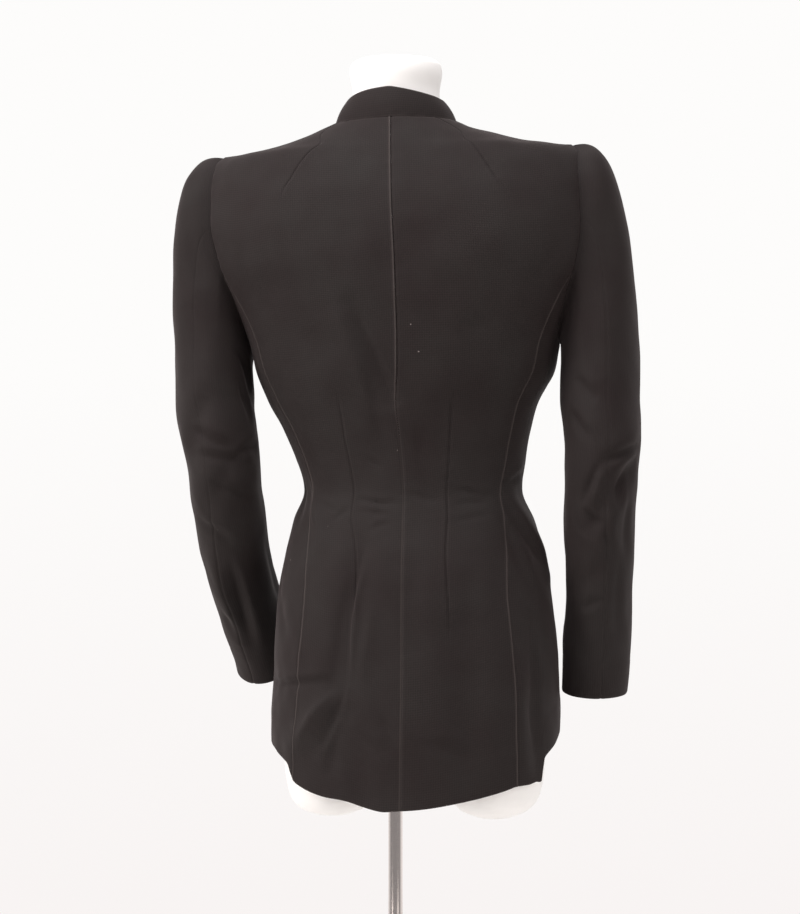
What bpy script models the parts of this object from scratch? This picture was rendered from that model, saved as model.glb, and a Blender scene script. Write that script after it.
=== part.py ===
# A fitted long blazer on a limbless dress form with a pole and a round base.
# The front faces -Y, so the wearer's left is at +X, and Z is up from the floor.
# Cloth pieces are thin walls on one smooth body surface, which is read at an angle and a height.
# The angle is 0 at the centre back, 90 at the wearer's left side, -90 at the right and 180 at the front.

from bisect import bisect_right
from collections import namedtuple
from math import asin, atan2, cos, degrees, exp, pi, radians, sin

import bmesh
import bpy
from mathutils import Vector

# Driving dimensions, in metres.
CLOTH = 0.0016  # wall of the cloth
SEAM = 0.0003  # gap between two pieces that are sewn together
SLEEVE_SEAM = 0.0004  # gap between a sleeve head and the armhole
BAND_SEAM = 0.0006  # gap between the collar and the neckline, on the collar's side

HEM_BACK = 0.7175
WAIST = 1.054
PANEL_LEVEL = 1.108  # side panels have level rows up to here
PRINCESS_TOP = 1.290  # where the side seams meet the armhole
SHOULDER_TIP = 1.427
NECK_SEAM = 1.458

BACK_COLUMNS = 7
FRONT_COLUMNS = 8
HEM_ROWS = 10

SHOULDER_SPAN = 0.19
SHOULDER_TILT = 0.0034  # drop of the left shoulder, and rise of the right one
SHOULDER_LOWER = 0.0012
TILT_FROM = 1.26
TILT_FULL = 1.40
TILT_END = 1.49

OVERLAP = 0.018  # each front runs this far past the centre front
LAP_LIFT = 0.0029  # the right front lies this far outside the left one
LAP_FLAT = 0.023  # distance from the centre where the lift is whole
LAP_START = 0.052  # distance from the centre where the lift starts
LAP_TOP = 1.235  # the lift fades between here
LAP_END = 1.300  # and here, where the V opens
LAP_STRIPS = (0.070, 0.041, 0.018, 0.0)  # last columns of each front, from its edge
CORNER_HEIGHT = 0.060  # rounded lower corner of each front
CORNER_WIDTH = 0.055
CORNER_SHARE = 0.30  # share of the skirt's height that the corner curves in
CORNER_FROM = 0.55  # share of the front's width where its hem starts to lift

# Heights of the rows above the waist; the rows below it follow the hem.
LEVELS = (
    1.081, PANEL_LEVEL, 1.134, 1.160, 1.186, 1.212, 1.238, 1.264, PRINCESS_TOP,
    1.315, 1.340, 1.365, 1.388, 1.408, SHOULDER_TIP,
    1.431, 1.438, 1.443, 1.4465, 1.4515, NECK_SEAM,
)
V_FROM = 1.238  # a front's columns even out between here and the top of the side seams
NORMAL_TURN = 0.6  # steps over which a surface's slope is felt, in degrees
NORMAL_LIFT = 0.0015  # and in metres

BUTTON_HEIGHTS = (1.198, 1.118, 1.038)
BUTTON_RADIUS = 0.0105
BUTTON_THICK = 0.0034
BUTTON_SEAT = 0.0004
BUTTON_REACH = 0.014  # the cloth is felt this far round a button's centre
BUTTON_SIDES = 24
# Turned profile in shares of the radius and the thickness, with a dished face.
BUTTON_PROFILE = (
    (0.0, 0.0), (0.72, 0.0), (0.97, 0.30), (1.0, 0.60), (0.93, 0.95), (0.80, 1.0), (0.62, 0.72), (0.0, 0.66),
)

POLE_RADIUS = 0.008
BORE = 0.0083
SOCKET_RADIUS = 0.0150
SOCKET_BOTTOM = 0.762
SOCKET_TOP = 0.8147
SOCKET_BORE_TOP = 0.800
SEAT_CLEARANCE = 0.0003
BASE_RADIUS = 0.170
BASE_THICK = 0.008
BASE_EDGE = 0.001
BASE_ROUND = 0.002
BASE_SIDES = 48
POLE_SIDES = 32
HUB_RADIUS = 0.022
# The base rises to its hub in a flare: distance out from the hub, height above the plate.
HUB_FLARE = ((0.014, 0.003), (0.003, 0.008), (0.0, 0.014))
HUB_HEIGHT = 0.045
BORE_FLOOR = 0.012

# The body of the blazer: half width, the outer back and front faces, the hip sway towards the
# wearer's right, and how square the section is (2 is an ellipse).
Section = namedtuple("Section", "height half_width back front sway square")
BODY = [
    Section(0.700, 0.158, 0.110, -0.133, 0.0195, 2.25),
    Section(0.780, 0.159, 0.109, -0.132, 0.0205, 2.25),
    Section(0.840, 0.1585, 0.106, -0.130, 0.0210, 2.25),
    Section(0.920, 0.153, 0.101, -0.125, 0.0205, 2.20),
    Section(0.955, 0.1485, 0.096, -0.121, 0.0200, 2.15),
    Section(0.988, 0.1420, 0.087, -0.116, 0.0195, 2.10),
    Section(1.021, 0.1340, 0.075, -0.110, 0.0185, 2.05),
    Section(1.054, 0.1215, 0.068, -0.105, 0.0175, 2.05),
    Section(1.087, 0.1275, 0.070, -0.106, 0.0145, 2.10),
    Section(1.120, 0.1375, 0.076, -0.111, 0.0105, 2.15),
    Section(1.153, 0.1510, 0.082, -0.119, 0.0065, 2.20),
    Section(1.186, 0.1655, 0.088, -0.126, 0.0075, 2.30),
    Section(1.215, 0.1710, 0.093, -0.129, 0.0075, 2.35),
    Section(1.264, 0.1900, 0.098, -0.125, 0.0065, 2.45),
    Section(1.300, 0.2060, 0.099, -0.117, 0.0055, 2.55),
    Section(1.340, 0.2130, 0.096, -0.105, 0.0035, 2.60),
    Section(1.380, 0.2100, 0.088, -0.090, 0.0020, 2.55),
    Section(1.408, 0.2040, 0.078, -0.077, 0.0015, 2.40),
    Section(1.427, 0.1920, 0.069, -0.066, 0.0015, 2.20),
    Section(1.431, 0.1500, 0.067, -0.064, 0.0015, 2.15),
    Section(1.438, 0.1250, 0.064, -0.060, 0.0015, 2.10),
    Section(1.443, 0.1060, 0.061, -0.057, 0.0015, 2.10),
    Section(1.4465, 0.0930, 0.059, -0.055, 0.0015, 2.05),
    Section(1.4515, 0.0800, 0.056, -0.052, 0.0010, 2.05),
    Section(1.458, 0.0670, 0.052, -0.050, 0.0010, 2.00),
]

# The dress form inside, by the same rule.
FORM = [
    Section(0.800, 0.143, 0.086, -0.104, 0.0200, 2.20),
    Section(0.840, 0.144, 0.092, -0.106, 0.0205, 2.20),
    Section(0.900, 0.1415, 0.092, -0.104, 0.0205, 2.15),
    Section(0.955, 0.1350, 0.086, -0.100, 0.0200, 2.10),
    Section(1.005, 0.1210, 0.073, -0.095, 0.0190, 2.05),
    Section(1.054, 0.1120, 0.059, -0.093, 0.0175, 2.05),
    Section(1.100, 0.1180, 0.064, -0.098, 0.0135, 2.10),
    Section(1.153, 0.1340, 0.073, -0.110, 0.0075, 2.15),
    Section(1.215, 0.1500, 0.083, -0.119, 0.0075, 2.20),
    Section(1.264, 0.1580, 0.088, -0.114, 0.0065, 2.25),
    Section(1.320, 0.1680, 0.087, -0.101, 0.0045, 2.30),
    Section(1.370, 0.1770, 0.081, -0.084, 0.0020, 2.30),
    Section(1.405, 0.1760, 0.071, -0.070, 0.0015, 2.20),
    Section(1.4215, 0.1640, 0.064, -0.062, 0.0015, 2.15),
    Section(1.4288, 0.1420, 0.0615, -0.0590, 0.0015, 2.10),
    Section(1.4358, 0.1240, 0.0605, -0.0565, 0.0015, 2.10),
    Section(1.4408, 0.1050, 0.0575, -0.0535, 0.0015, 2.10),
    Section(1.4443, 0.0920, 0.0555, -0.0515, 0.0015, 2.05),
    Section(1.4493, 0.0785, 0.0520, -0.0485, 0.0010, 2.05),
    Section(1.4560, 0.0620, 0.0470, -0.0480, 0.0010, 2.00),
    Section(1.4680, 0.0510, 0.0420, -0.0470, 0.0006, 2.00),
    Section(1.4900, 0.0480, 0.0400, -0.0470, 0.0000, 2.00),
    Section(1.5120, 0.0510, 0.0430, -0.0500, 0.0000, 2.00),
    Section(1.5200, 0.0500, 0.0420, -0.0490, 0.0000, 2.00),
    Section(1.5260, 0.0430, 0.0350, -0.0420, 0.0000, 2.00),
    Section(1.5290, 0.0270, 0.0200, -0.0270, 0.0000, 2.00),
]
FORM_COLUMNS = 28

# Round ends under the dress form: height, half width and half depth of each stump.
Stump = namedtuple("Stump", "height half_width half_depth merge")
STUMPS = [
    Stump(0.785, 0.058, 0.090, 0.45),
    Stump(0.765, 0.055, 0.086, 0.85),
    Stump(0.740, 0.053, 0.082, 1.0),
    Stump(0.720, 0.049, 0.076, 1.0),
    Stump(0.706, 0.039, 0.062, 1.0),
    Stump(0.699, 0.024, 0.040, 1.0),
]
STUMP_SPREAD = 0.089
STUMP_END = 0.6965
SEAT_BELOW = 0.03  # the socket's seat is cut from this far below the socket
CROTCH_POINTS = 5

# Hem height round the body, by angle from the centre back.
Hem = namedtuple("Hem", "angle height")
HEM = [
    Hem(0, HEM_BACK),
    Hem(10, 0.7215),
    Hem(20, 0.7265),
    Hem(30, 0.7315),
    Hem(45, 0.7405),
    Hem(60, 0.756),
    Hem(72, 0.770),
    Hem(90, 0.780),
    Hem(110, 0.784),
    Hem(140, 0.785),
    Hem(190, 0.785),
]

# Seams that run up the body: how far the centre back seam is pulled to the wearer's right, and the
# angles of the side seams from the centre back.
Seam = namedtuple("Seam", "height centre_back side_back side_front")
SEAMS = [
    Seam(0.700, 0.0000, 48, 118),
    Seam(0.820, 0.0000, 46, 118),
    Seam(0.930, 0.0000, 45, 120),
    Seam(1.000, 0.0000, 50, 123),
    Seam(1.054, 0.0005, 55.5, 125),
    Seam(1.087, 0.0015, 58.5, 125),
    Seam(1.153, 0.0045, 60.5, 124),
    Seam(1.213, 0.0060, 62, 122),
    Seam(1.264, 0.0063, 65.5, 119),
    Seam(1.290, 0.0063, 68, 117),
    Seam(1.320, 0.0062, 68, 117),
    Seam(1.380, 0.0050, 68, 117),
    Seam(1.458, 0.0005, 68, 117),
]

# The armhole above the side panel: how far its edges lie from the side, in degrees.
Armhole = namedtuple("Armhole", "height back front")
ARMHOLE = [
    Armhole(1.290, 22, 27),
    Armhole(1.315, 22, 27),
    Armhole(1.340, 21.5, 26),
    Armhole(1.365, 20.5, 24),
    Armhole(1.388, 18.5, 21),
    Armhole(1.408, 14, 15.5),
    Armhole(1.427, 0, 0),
]

# The underarm curve at the top of the side panel, from the back seam to the front seam.
Underarm = namedtuple("Underarm", "angle height")
UNDERARM = [
    Underarm(68, 1.290),
    Underarm(71.5, 1.262),
    Underarm(77, 1.237),
    Underarm(85, 1.2195),
    Underarm(95, 1.215),
    Underarm(104.5, 1.222),
    Underarm(112, 1.247),
    Underarm(117, 1.290),
]

# The V neckline: distance of its edge from the centre front, and the width of the band on it.
Neckline = namedtuple("Neckline", "height edge band")
NECKLINE = [
    Neckline(1.212, -0.018, 0.002),
    Neckline(1.238, 0.009, 0.005),
    Neckline(1.264, 0.022, 0.012),
    Neckline(1.290, 0.033, 0.018),
    Neckline(1.340, 0.049, 0.025),
    Neckline(1.388, 0.058, 0.029),
    Neckline(1.427, 0.0615, 0.031),
    Neckline(1.458, 0.0615, 0.031),
]

# The collar: top edge of the band behind and beside the neck, and where it starts to stand up.
BAND_BACK_TOP = 1.4905
BAND_SIDE_TOP = 1.4805
BAND_HALF_WIDTH = 0.0535
BAND_BACK = 0.0455
BAND_FRONT = -0.0500
BAND_ROWS = 3
BAND_BULGE = 0.0015
BAND_LAYERS = 1.25  # the band is a little thicker than the cloth
BAND_LIE = 0.001  # the flat part's free edge lies this far off the front
BAND_FROM = 1.230
BAND_STANDS_FROM = 1.370
BAND_TURNS_FROM = 1.400
BAND_TURN = 50  # degrees its free edge is carried forward at the V

# Large folds of the body: a straight run between two places, how wide, and how high (out is plus).
Fold = namedtuple("Fold", "angle_from height_from angle_to height_to width rise")
BODY_FOLDS = [
    Fold(9, 1.252, 1, 1.150, 0.011, -0.0040),
    Fold(14, 1.235, 6, 1.140, 0.012, 0.0025),
    Fold(17, 0.995, 24, 0.825, 0.017, -0.0060),
    Fold(78, 0.848, 27, 0.843, 0.012, -0.0045),
    Fold(27, 0.834, 48, 0.778, 0.014, 0.0045),
    Fold(21, 0.812, 12, 0.735, 0.019, -0.0060),
    Fold(57, 1.066, 41, 0.999, 0.012, 0.0030),
    Fold(-64, 1.043, -86, 0.965, 0.014, 0.0050),
    Fold(-57, 0.915, -62, 0.757, 0.014, -0.0045),
    Fold(-20, 0.905, -27, 0.745, 0.020, -0.0035),
    Fold(112, 0.985, 135, 0.800, 0.020, -0.0050),
    Fold(-108, 0.960, -140, 0.790, 0.020, -0.0050),
    Fold(150, 1.060, 172, 1.036, 0.012, -0.0030),
    Fold(-146, 1.072, -170, 1.040, 0.012, -0.0030),
    Fold(118, 1.190, 140, 1.125, 0.016, -0.0030),
    Fold(-120, 1.180, -143, 1.118, 0.016, -0.0030),
]
FOLD_END = 0.35  # share of a fold's height left at the ends of its run
FOLD_TAPER = 0.15

# The arm that each sleeve follows below the armhole: distance out from the sway line, how far the
# left one hangs nearer the body, how far the left and the right lie forward of the shoulder, and
# half the sleeve's width and depth.
Station = namedtuple("Station", "height out left_in left_forward right_forward across deep")
ARM = [
    Station(1.190, 0.2165, 0.0030, 0.008, 0.008, 0.0425, 0.0580),
    Station(1.150, 0.2170, 0.0065, 0.004, 0.004, 0.0425, 0.0565),
    Station(1.110, 0.2150, 0.0065, -0.002, -0.001, 0.0415, 0.0545),
    Station(1.075, 0.2095, 0.0025, -0.001, -0.002, 0.0400, 0.0520),
    Station(1.040, 0.2055, -0.0025, 0.009, 0.001, 0.0390, 0.0505),
    Station(1.000, 0.2040, -0.0025, 0.027, 0.007, 0.0380, 0.0485),
    Station(0.960, 0.2025, -0.0015, 0.049, 0.014, 0.0370, 0.0465),
    Station(0.915, 0.2000, 0.0030, 0.077, 0.023, 0.0370, 0.0450),
    Station(0.870, 0.1970, 0.0070, 0.105, 0.033, 0.0365, 0.0435),
    Station(0.832, 0.1950, 0.0100, 0.128, 0.042, 0.0360, 0.0425),
]
ARM_ROWS = 13
ARM_STEP = 0.01  # step along the arm over which its direction is felt
CAP_STEPS = (0.0, 0.02, 0.07, 0.16, 0.32, 0.60, 1.0)
# How fast each sleeve head swells out from the armhole, and how far its padded top stands up.
CapShape = namedtuple("CapShape", "square rise lift")
CAP_LEFT = CapShape(4.2, 0.40, 0.0030)
CAP_RIGHT = CapShape(1.5, 0.335, 0.0045)
CAP_LIFT_FROM = 1.360
LOOP = 19  # points round the armhole and each sleeve
HINDARM = 4  # column of the sleeve's back seam
FOREARM = 13  # column of its front seam

# Large folds of the sleeves: from a place round and along to another, in degrees and heights.
SleeveFold = namedtuple("SleeveFold", "around_from height_from around_to height_to width rise")
LEFT_SLEEVE_FOLDS = [
    SleeveFold(95, 1.150, 40, 1.085, 0.014, -0.0045),
    SleeveFold(120, 1.085, 60, 1.045, 0.013, -0.0040),
    SleeveFold(70, 1.020, 55, 0.930, 0.012, 0.0035),
    SleeveFold(100, 0.990, 75, 0.900, 0.013, -0.0045),
    SleeveFold(290, 1.060, 230, 1.085, 0.014, -0.0060),
    SleeveFold(300, 1.020, 240, 1.035, 0.013, -0.0045),
]
RIGHT_SLEEVE_FOLDS = [
    SleeveFold(10, 1.088, 75, 1.050, 0.012, -0.0050),
    SleeveFold(15, 1.115, 80, 1.095, 0.014, 0.0030),
    SleeveFold(75, 1.050, 110, 1.010, 0.012, -0.0045),
    SleeveFold(55, 1.060, 80, 0.985, 0.012, 0.0035),
    SleeveFold(80, 0.985, 130, 0.940, 0.012, -0.0035),
    SleeveFold(290, 1.070, 235, 1.085, 0.014, -0.0055),
]

CLOTH_COLOUR = (0.020, 0.017, 0.017, 1.0)
BUTTON_COLOUR = (0.018, 0.016, 0.016, 1.0)
FORM_COLOUR = (0.83, 0.80, 0.76, 1.0)
CHROME_COLOUR = (0.72, 0.71, 0.70, 1.0)
BASE_COLOUR = (0.70, 0.69, 0.68, 1.0)


def clear_scene():
    for obj in list(bpy.data.objects):
        bpy.data.objects.remove(obj, do_unlink=True)


def make_material(name, colour, roughness, metallic):
    material = bpy.data.materials.new(name)
    material.use_nodes = True
    shader = material.node_tree.nodes["Principled BSDF"]
    shader.inputs["Base Color"].default_value = colour
    shader.inputs["Roughness"].default_value = roughness
    shader.inputs["Metallic"].default_value = metallic
    return material


def read(table, key, column, at):
    """Reads a column of a table at a place, on a smooth curve that never overshoots its rows."""
    places = [getattr(row, key) for row in table]
    values = [getattr(row, column) for row in table]
    if at <= places[0]:
        return values[0]
    if at >= places[-1]:
        return values[-1]
    i = bisect_right(places, at) - 1
    slopes = [(values[j + 1] - values[j]) / (places[j + 1] - places[j]) for j in range(len(places) - 1)]

    def tangent(j):
        if j == 0:
            return slopes[0]
        if j == len(places) - 1:
            return slopes[-1]
        before, after = slopes[j - 1], slopes[j]
        if before * after <= 0:
            return 0.0
        return 2 * before * after / (before + after)

    step = places[i + 1] - places[i]
    t = (at - places[i]) / step
    rise = (2 * t**3 - 3 * t**2 + 1) * values[i] + (-2 * t**3 + 3 * t**2) * values[i + 1]
    return rise + (t**3 - 2 * t**2 + t) * step * tangent(i) + (t**3 - t**2) * step * tangent(i + 1)


def ease(low, high, at):
    t = min(max((at - low) / (high - low), 0.0), 1.0)
    return t * t * (3 - 2 * t)


def power(value, exponent):
    return abs(value) ** exponent * (1 if value >= 0 else -1)


def section_point(table, angle, height):
    half_width = read(table, "height", "half_width", height)
    back = read(table, "height", "back", height)
    front = read(table, "height", "front", height)
    sway = read(table, "height", "sway", height)
    exponent = 2 / read(table, "height", "square", height)
    middle = (back + front) / 2
    depth = (back - front) / 2
    x = half_width * power(sin(radians(angle)), exponent) - sway
    y = middle + depth * power(cos(radians(angle)), exponent)
    return Vector((x, y, height - shoulder_drop(x, height)))


def shoulder_drop(x, height):
    """The shoulder line tilts: the wearer's left hangs lower than the right."""
    drop = x / SHOULDER_SPAN * SHOULDER_TILT + SHOULDER_LOWER
    return drop * ease(TILT_FROM, TILT_FULL, height) * (1 - ease(NECK_SEAM, TILT_END, height))


def section_normal(table, angle, height):
    ahead = section_point(table, angle + NORMAL_TURN, height)
    behind = section_point(table, angle - NORMAL_TURN, height)
    above = section_point(table, angle, height + NORMAL_LIFT)
    below = section_point(table, angle, height - NORMAL_LIFT)
    return (above - below).cross(ahead - behind).normalized()


def front_angle(height, distance):
    """Angle at which the left front lies this far from the centre front."""
    half_width = read(BODY, "height", "half_width", height)
    exponent = read(BODY, "height", "square", height) / 2
    return 180 - degrees(asin(power(distance / half_width, exponent)))


def distance_to_run(point, start, end):
    run = end - start
    t = min(max((point - start).dot(run) / run.length_squared, 0.0), 1.0)
    return (point - start - run * t).length, t


def fold_rise(point, start, end, width, rise):
    distance, along = distance_to_run(point, start, end)
    fade = FOLD_END + (1 - FOLD_END) * sin(pi * (FOLD_TAPER + (1 - 2 * FOLD_TAPER) * along))
    return rise * fade * exp(-((distance / width) ** 2))


def body_folds_at(point):
    total = 0.0
    for fold in BODY_FOLDS:
        start = section_point(BODY, fold.angle_from, fold.height_from)
        end = section_point(BODY, fold.angle_to, fold.height_to)
        total += fold_rise(point, start, end, fold.width, fold.rise)
    return total


def lap_lift(point, height):
    """How far the right front stands off so that it lies over the left one."""
    sway = read(BODY, "height", "sway", height)
    from_centre = -(point.x + sway)
    near = 1 - ease(LAP_FLAT, LAP_START, from_centre)
    below_neckline = 1 - ease(LAP_TOP, LAP_END, height)
    return LAP_LIFT * near * below_neckline


def body_wall(angle, height, over=False):
    """Outer and inner point of the cloth at an angle and a height."""
    base = section_point(BODY, angle, height)
    normal = section_normal(BODY, angle, height)
    rise = body_folds_at(base)
    if over:
        rise += lap_lift(base, height)
    outer = base + normal * rise
    return outer, outer - normal * CLOTH


def hem_height(angle):
    return read(HEM, "angle", "height", abs(angle))


def skirt_height(angle, row, hem=None):
    low = hem_height(angle) if hem is None else hem
    return low + (WAIST - low) * row / HEM_ROWS


def inset(grid, first=0.0, last=0.0, bottom=0.0, top=0.0):
    """Moves the edge points of a wall's grid inward, to leave seam gaps."""
    for row in grid:
        if first:
            row[0] = row[0] + (row[1] - row[0]).normalized() * first
        if last:
            row[-1] = row[-1] + (row[-2] - row[-1]).normalized() * last
    if bottom:
        grid[0] = [a + (b - a).normalized() * bottom for a, b in zip(grid[0], grid[1])]
    if top:
        grid[-1] = [a + (b - a).normalized() * top for a, b in zip(grid[-1], grid[-2])]


def add_object(name, mesh_data, material, smooth=True):
    mesh = bpy.data.meshes.new(name)
    mesh_data.normal_update()
    mesh_data.to_mesh(mesh)
    mesh_data.free()
    mesh.materials.append(material)
    if smooth:
        mesh.shade_smooth()
        mesh.set_sharp_from_angle(angle=radians(40))
    obj = bpy.data.objects.new(name, mesh)
    bpy.context.scene.collection.objects.link(obj)
    return obj


def cloth_wall(name, outer, inner, material):
    """A closed wall between an outer and an inner grid of points."""
    build = bmesh.new()
    out = [[build.verts.new(p) for p in row] for row in outer]
    into = [[build.verts.new(p) for p in row] for row in inner]
    rows, columns = len(out), len(out[0])
    for i in range(rows - 1):
        for j in range(columns - 1):
            build.faces.new((out[i][j], out[i][j + 1], out[i + 1][j + 1], out[i + 1][j]))
            build.faces.new((into[i][j], into[i + 1][j], into[i + 1][j + 1], into[i][j + 1]))
    for i in range(rows - 1):
        build.faces.new((out[i][0], out[i + 1][0], into[i + 1][0], into[i][0]))
        build.faces.new((out[i][-1], into[i][-1], into[i + 1][-1], out[i + 1][-1]))
    for j in range(columns - 1):
        build.faces.new((out[0][j], into[0][j], into[0][j + 1], out[0][j + 1]))
        build.faces.new((out[-1][j], out[-1][j + 1], into[-1][j + 1], into[-1][j]))
    bmesh.ops.recalc_face_normals(build, faces=build.faces)
    return add_object(name, build, material)


def walls_from_places(places, over=False):
    outer, inner = [], []
    for row in places:
        pairs = [body_wall(angle, height, over) for angle, height in row]
        outer.append([pair[0] for pair in pairs])
        inner.append([pair[1] for pair in pairs])
    return outer, inner


def back_edge(height):
    if height <= PRINCESS_TOP:
        return read(SEAMS, "height", "side_back", height)
    return 90 - read(ARMHOLE, "height", "back", height)


def front_side_edge(height):
    if height <= PRINCESS_TOP:
        return read(SEAMS, "height", "side_front", height)
    return 90 + read(ARMHOLE, "height", "front", height)


def skirt_edge(row, seam_edge):
    """Angle where a skirt row meets a seam; its height depends on the angle and the other way round."""
    angle = seam_edge(WAIST)
    for _ in range(4):
        angle = seam_edge(skirt_height(angle, row))
    return angle


def centre_back_angle(height):
    half_width = read(BODY, "height", "half_width", height)
    exponent = read(BODY, "height", "square", height) / 2
    shift = read(SEAMS, "height", "centre_back", height)
    return -degrees(asin(power(shift / half_width, exponent)))


def back_columns(side, height, edge):
    """Angles of a back panel's columns, from the centre back seam to its side edge."""
    centre = centre_back_angle(height)
    return [centre + (side * edge - centre) * j / BACK_COLUMNS for j in range(BACK_COLUMNS + 1)]


def back_places(side):
    rows = []
    for row in range(HEM_ROWS + 1):
        edge = skirt_edge(row, back_edge)
        angles = back_columns(side, skirt_height(0, row), edge)
        rows.append([(a, skirt_height(a, row)) for a in angles])
    for height in LEVELS:
        rows.append([(a, height) for a in back_columns(side, height, back_edge(height))])
    return rows


def make_back(name, side, material):
    outer, inner = walls_from_places(back_places(side))
    for grid in (outer, inner):
        inset(grid, first=SEAM / 2, last=SEAM / 2)
    return cloth_wall(name, outer, inner, material)


def side_places(side):
    level_rows = [h for h in LEVELS if h <= PRINCESS_TOP]
    shares = []
    for place in UNDERARM:
        low = read(SEAMS, "height", "side_back", place.height)
        high = read(SEAMS, "height", "side_front", place.height)
        shares.append(min(max((place.angle - low) / (high - low), 0.0), 1.0))
    shares[0], shares[-1] = 0.0, 1.0
    rows = []
    for row in range(HEM_ROWS + 1):
        low = skirt_edge(row, back_edge)
        high = skirt_edge(row, front_side_edge)
        angles = [low + (high - low) * share for share in shares]
        rows.append([(side * a, skirt_height(a, row)) for a in angles])
    for height in level_rows:
        places = []
        for place, share in zip(UNDERARM, shares):
            level = height
            if height > PANEL_LEVEL:
                part = (height - PANEL_LEVEL) / (PRINCESS_TOP - PANEL_LEVEL)
                level = PANEL_LEVEL + (place.height - PANEL_LEVEL) * part
            low, high = back_edge(level), front_side_edge(level)
            places.append((side * (low + (high - low) * share), level))
        rows.append(places)
    return rows


def make_side(name, side, material):
    outer, inner = walls_from_places(side_places(side))
    for grid in (outer, inner):
        inset(grid, first=SEAM / 2, last=SEAM / 2)
    return cloth_wall(name, outer, inner, material)


def front_edge_angle(height):
    """Angle of a front's own edge: past the centre below the V, and on the neckline above it."""
    return front_angle(height, read(NECKLINE, "height", "edge", height))


def front_hem(share, angle):
    """Hem of a front, lifted in a round corner towards its edge."""
    corner = ease(CORNER_FROM, 1.0, share) ** 2
    return hem_height(angle) + CORNER_HEIGHT * corner


def front_columns(height, edge_distance):
    """Angles of a front's columns; near the centre both fronts have theirs at the same distances."""
    low = front_side_edge(height)
    half_width = read(BODY, "height", "half_width", height)
    strips = []
    for strip in LAP_STRIPS:
        strips.append(front_angle(height, min(edge_distance + strip, half_width)))
    free = FRONT_COLUMNS - len(LAP_STRIPS) + 1
    placed = [low + (strips[0] - low) * j / free for j in range(free)] + strips
    even = [low + (strips[-1] - low) * j / FRONT_COLUMNS for j in range(FRONT_COLUMNS + 1)]
    weight = 1 - ease(V_FROM, PRINCESS_TOP, height)
    return [b + (a - b) * weight for a, b in zip(placed, even)]


def front_places(side):
    rows = []
    for row in range(HEM_ROWS + 1):
        low = skirt_edge(row, front_side_edge)
        drawn_in = CORNER_WIDTH * (1 - ease(0.0, CORNER_SHARE, row / HEM_ROWS)) ** 3
        angles = front_columns(skirt_height(180, row), drawn_in - OVERLAP)
        angles[0] = low
        places = []
        for j, angle in enumerate(angles):
            hem = front_hem(j / FRONT_COLUMNS, angle)
            places.append((side * angle, skirt_height(angle, row, hem)))
        rows.append(places)
    for height in LEVELS:
        edge_distance = read(NECKLINE, "height", "edge", height)
        rows.append([(side * angle, height) for angle in front_columns(height, edge_distance)])
    return rows


def make_front(name, side, over, material):
    outer, inner = walls_from_places(front_places(side), over)
    for grid in (outer, inner):
        inset(grid, first=SEAM / 2, last=SEAM / 2)
    return cloth_wall(name, outer, inner, material)


def band_top(angle):
    """Top edge of the standing part of the collar at an angle."""
    share = abs(angle) / 90
    height = BAND_BACK_TOP + (BAND_SIDE_TOP - BAND_BACK_TOP) * share
    y = cos(radians(angle))
    middle = (BAND_BACK + BAND_FRONT) / 2
    depth = (BAND_BACK - BAND_FRONT) / 2
    return Vector((BAND_HALF_WIDTH * sin(radians(angle)), middle + depth * y, height))


def collar_columns():
    """Seam edge and free edge of the band, from the left point round the back to the right one."""
    neck_rows = [h for h in LEVELS if h > BAND_FROM]
    columns = []
    for side in (1, -1):
        over = side < 0
        part = []
        for height in neck_rows:
            edge = front_edge_angle(height)
            seam = body_wall(side * edge, height, over)
            width = read(NECKLINE, "height", "band", height)
            distance = read(NECKLINE, "height", "edge", height) - width
            flat_angle = front_angle(height, distance)
            flat = body_wall(side * flat_angle, height, over)
            normal = (flat[0] - flat[1]).normalized()
            lie = flat[0] + normal * BAND_LIE
            stand = ease(BAND_STANDS_FROM, NECK_SEAM, height) ** 1.5
            top_angle = side * (90 + BAND_TURN * (1 - ease(BAND_TURNS_FROM, NECK_SEAM, height)))
            free = lie.lerp(band_top(top_angle), stand)
            part.append((seam, free))
        if side < 0:
            part.reverse()
        columns.append(part)
    back = []
    left_part = back_columns(1, NECK_SEAM, 90)
    right_part = back_columns(-1, NECK_SEAM, 90)
    for angle in left_part[-2:0:-1] + right_part[:-1]:
        back.append((body_wall(angle, NECK_SEAM), band_top(angle)))
    side_left = (body_wall(90, NECK_SEAM), band_top(90))
    side_right = (body_wall(-90, NECK_SEAM), band_top(-90))
    return columns[0] + [side_left] + back + [side_right] + columns[1]


def make_collar(name, material):
    columns = collar_columns()
    seam_line = [seam[0] for seam, free in columns]
    outer = [[] for _ in range(BAND_ROWS + 1)]
    for j, (seam, free) in enumerate(columns):
        normal = (seam[0] - seam[1]).normalized()
        run = seam_line[min(j + 1, len(columns) - 1)] - seam_line[max(j - 1, 0)]
        start = seam[0] + normal.cross(run).normalized() * BAND_SEAM
        for i in range(BAND_ROWS + 1):
            t = i / BAND_ROWS
            outer[i].append(start.lerp(free, t) + normal * BAND_BULGE * sin(pi * t))
    thick = CLOTH * BAND_LAYERS
    normals = grid_normals(outer)
    inner = []
    for row, normal_row in zip(outer, normals):
        inner.append([p - n * thick for p, n in zip(row, normal_row)])
    return cloth_wall(name, outer, inner, material)


def grid_normals(grid, closed=False):
    rows, columns = len(grid), len(grid[0])
    normals = []
    for i in range(rows):
        low, high = max(i - 1, 0), min(i + 1, rows - 1)
        row = []
        for j in range(columns):
            if closed:
                left, right = grid[i][j - 1], grid[i][(j + 1) % columns]
            else:
                left, right = grid[i][max(j - 1, 0)], grid[i][min(j + 1, columns - 1)]
            along = right - left
            up = grid[high][j] - grid[low][j]
            row.append(along.cross(up).normalized())
        normals.append(row)
    return normals


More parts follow.
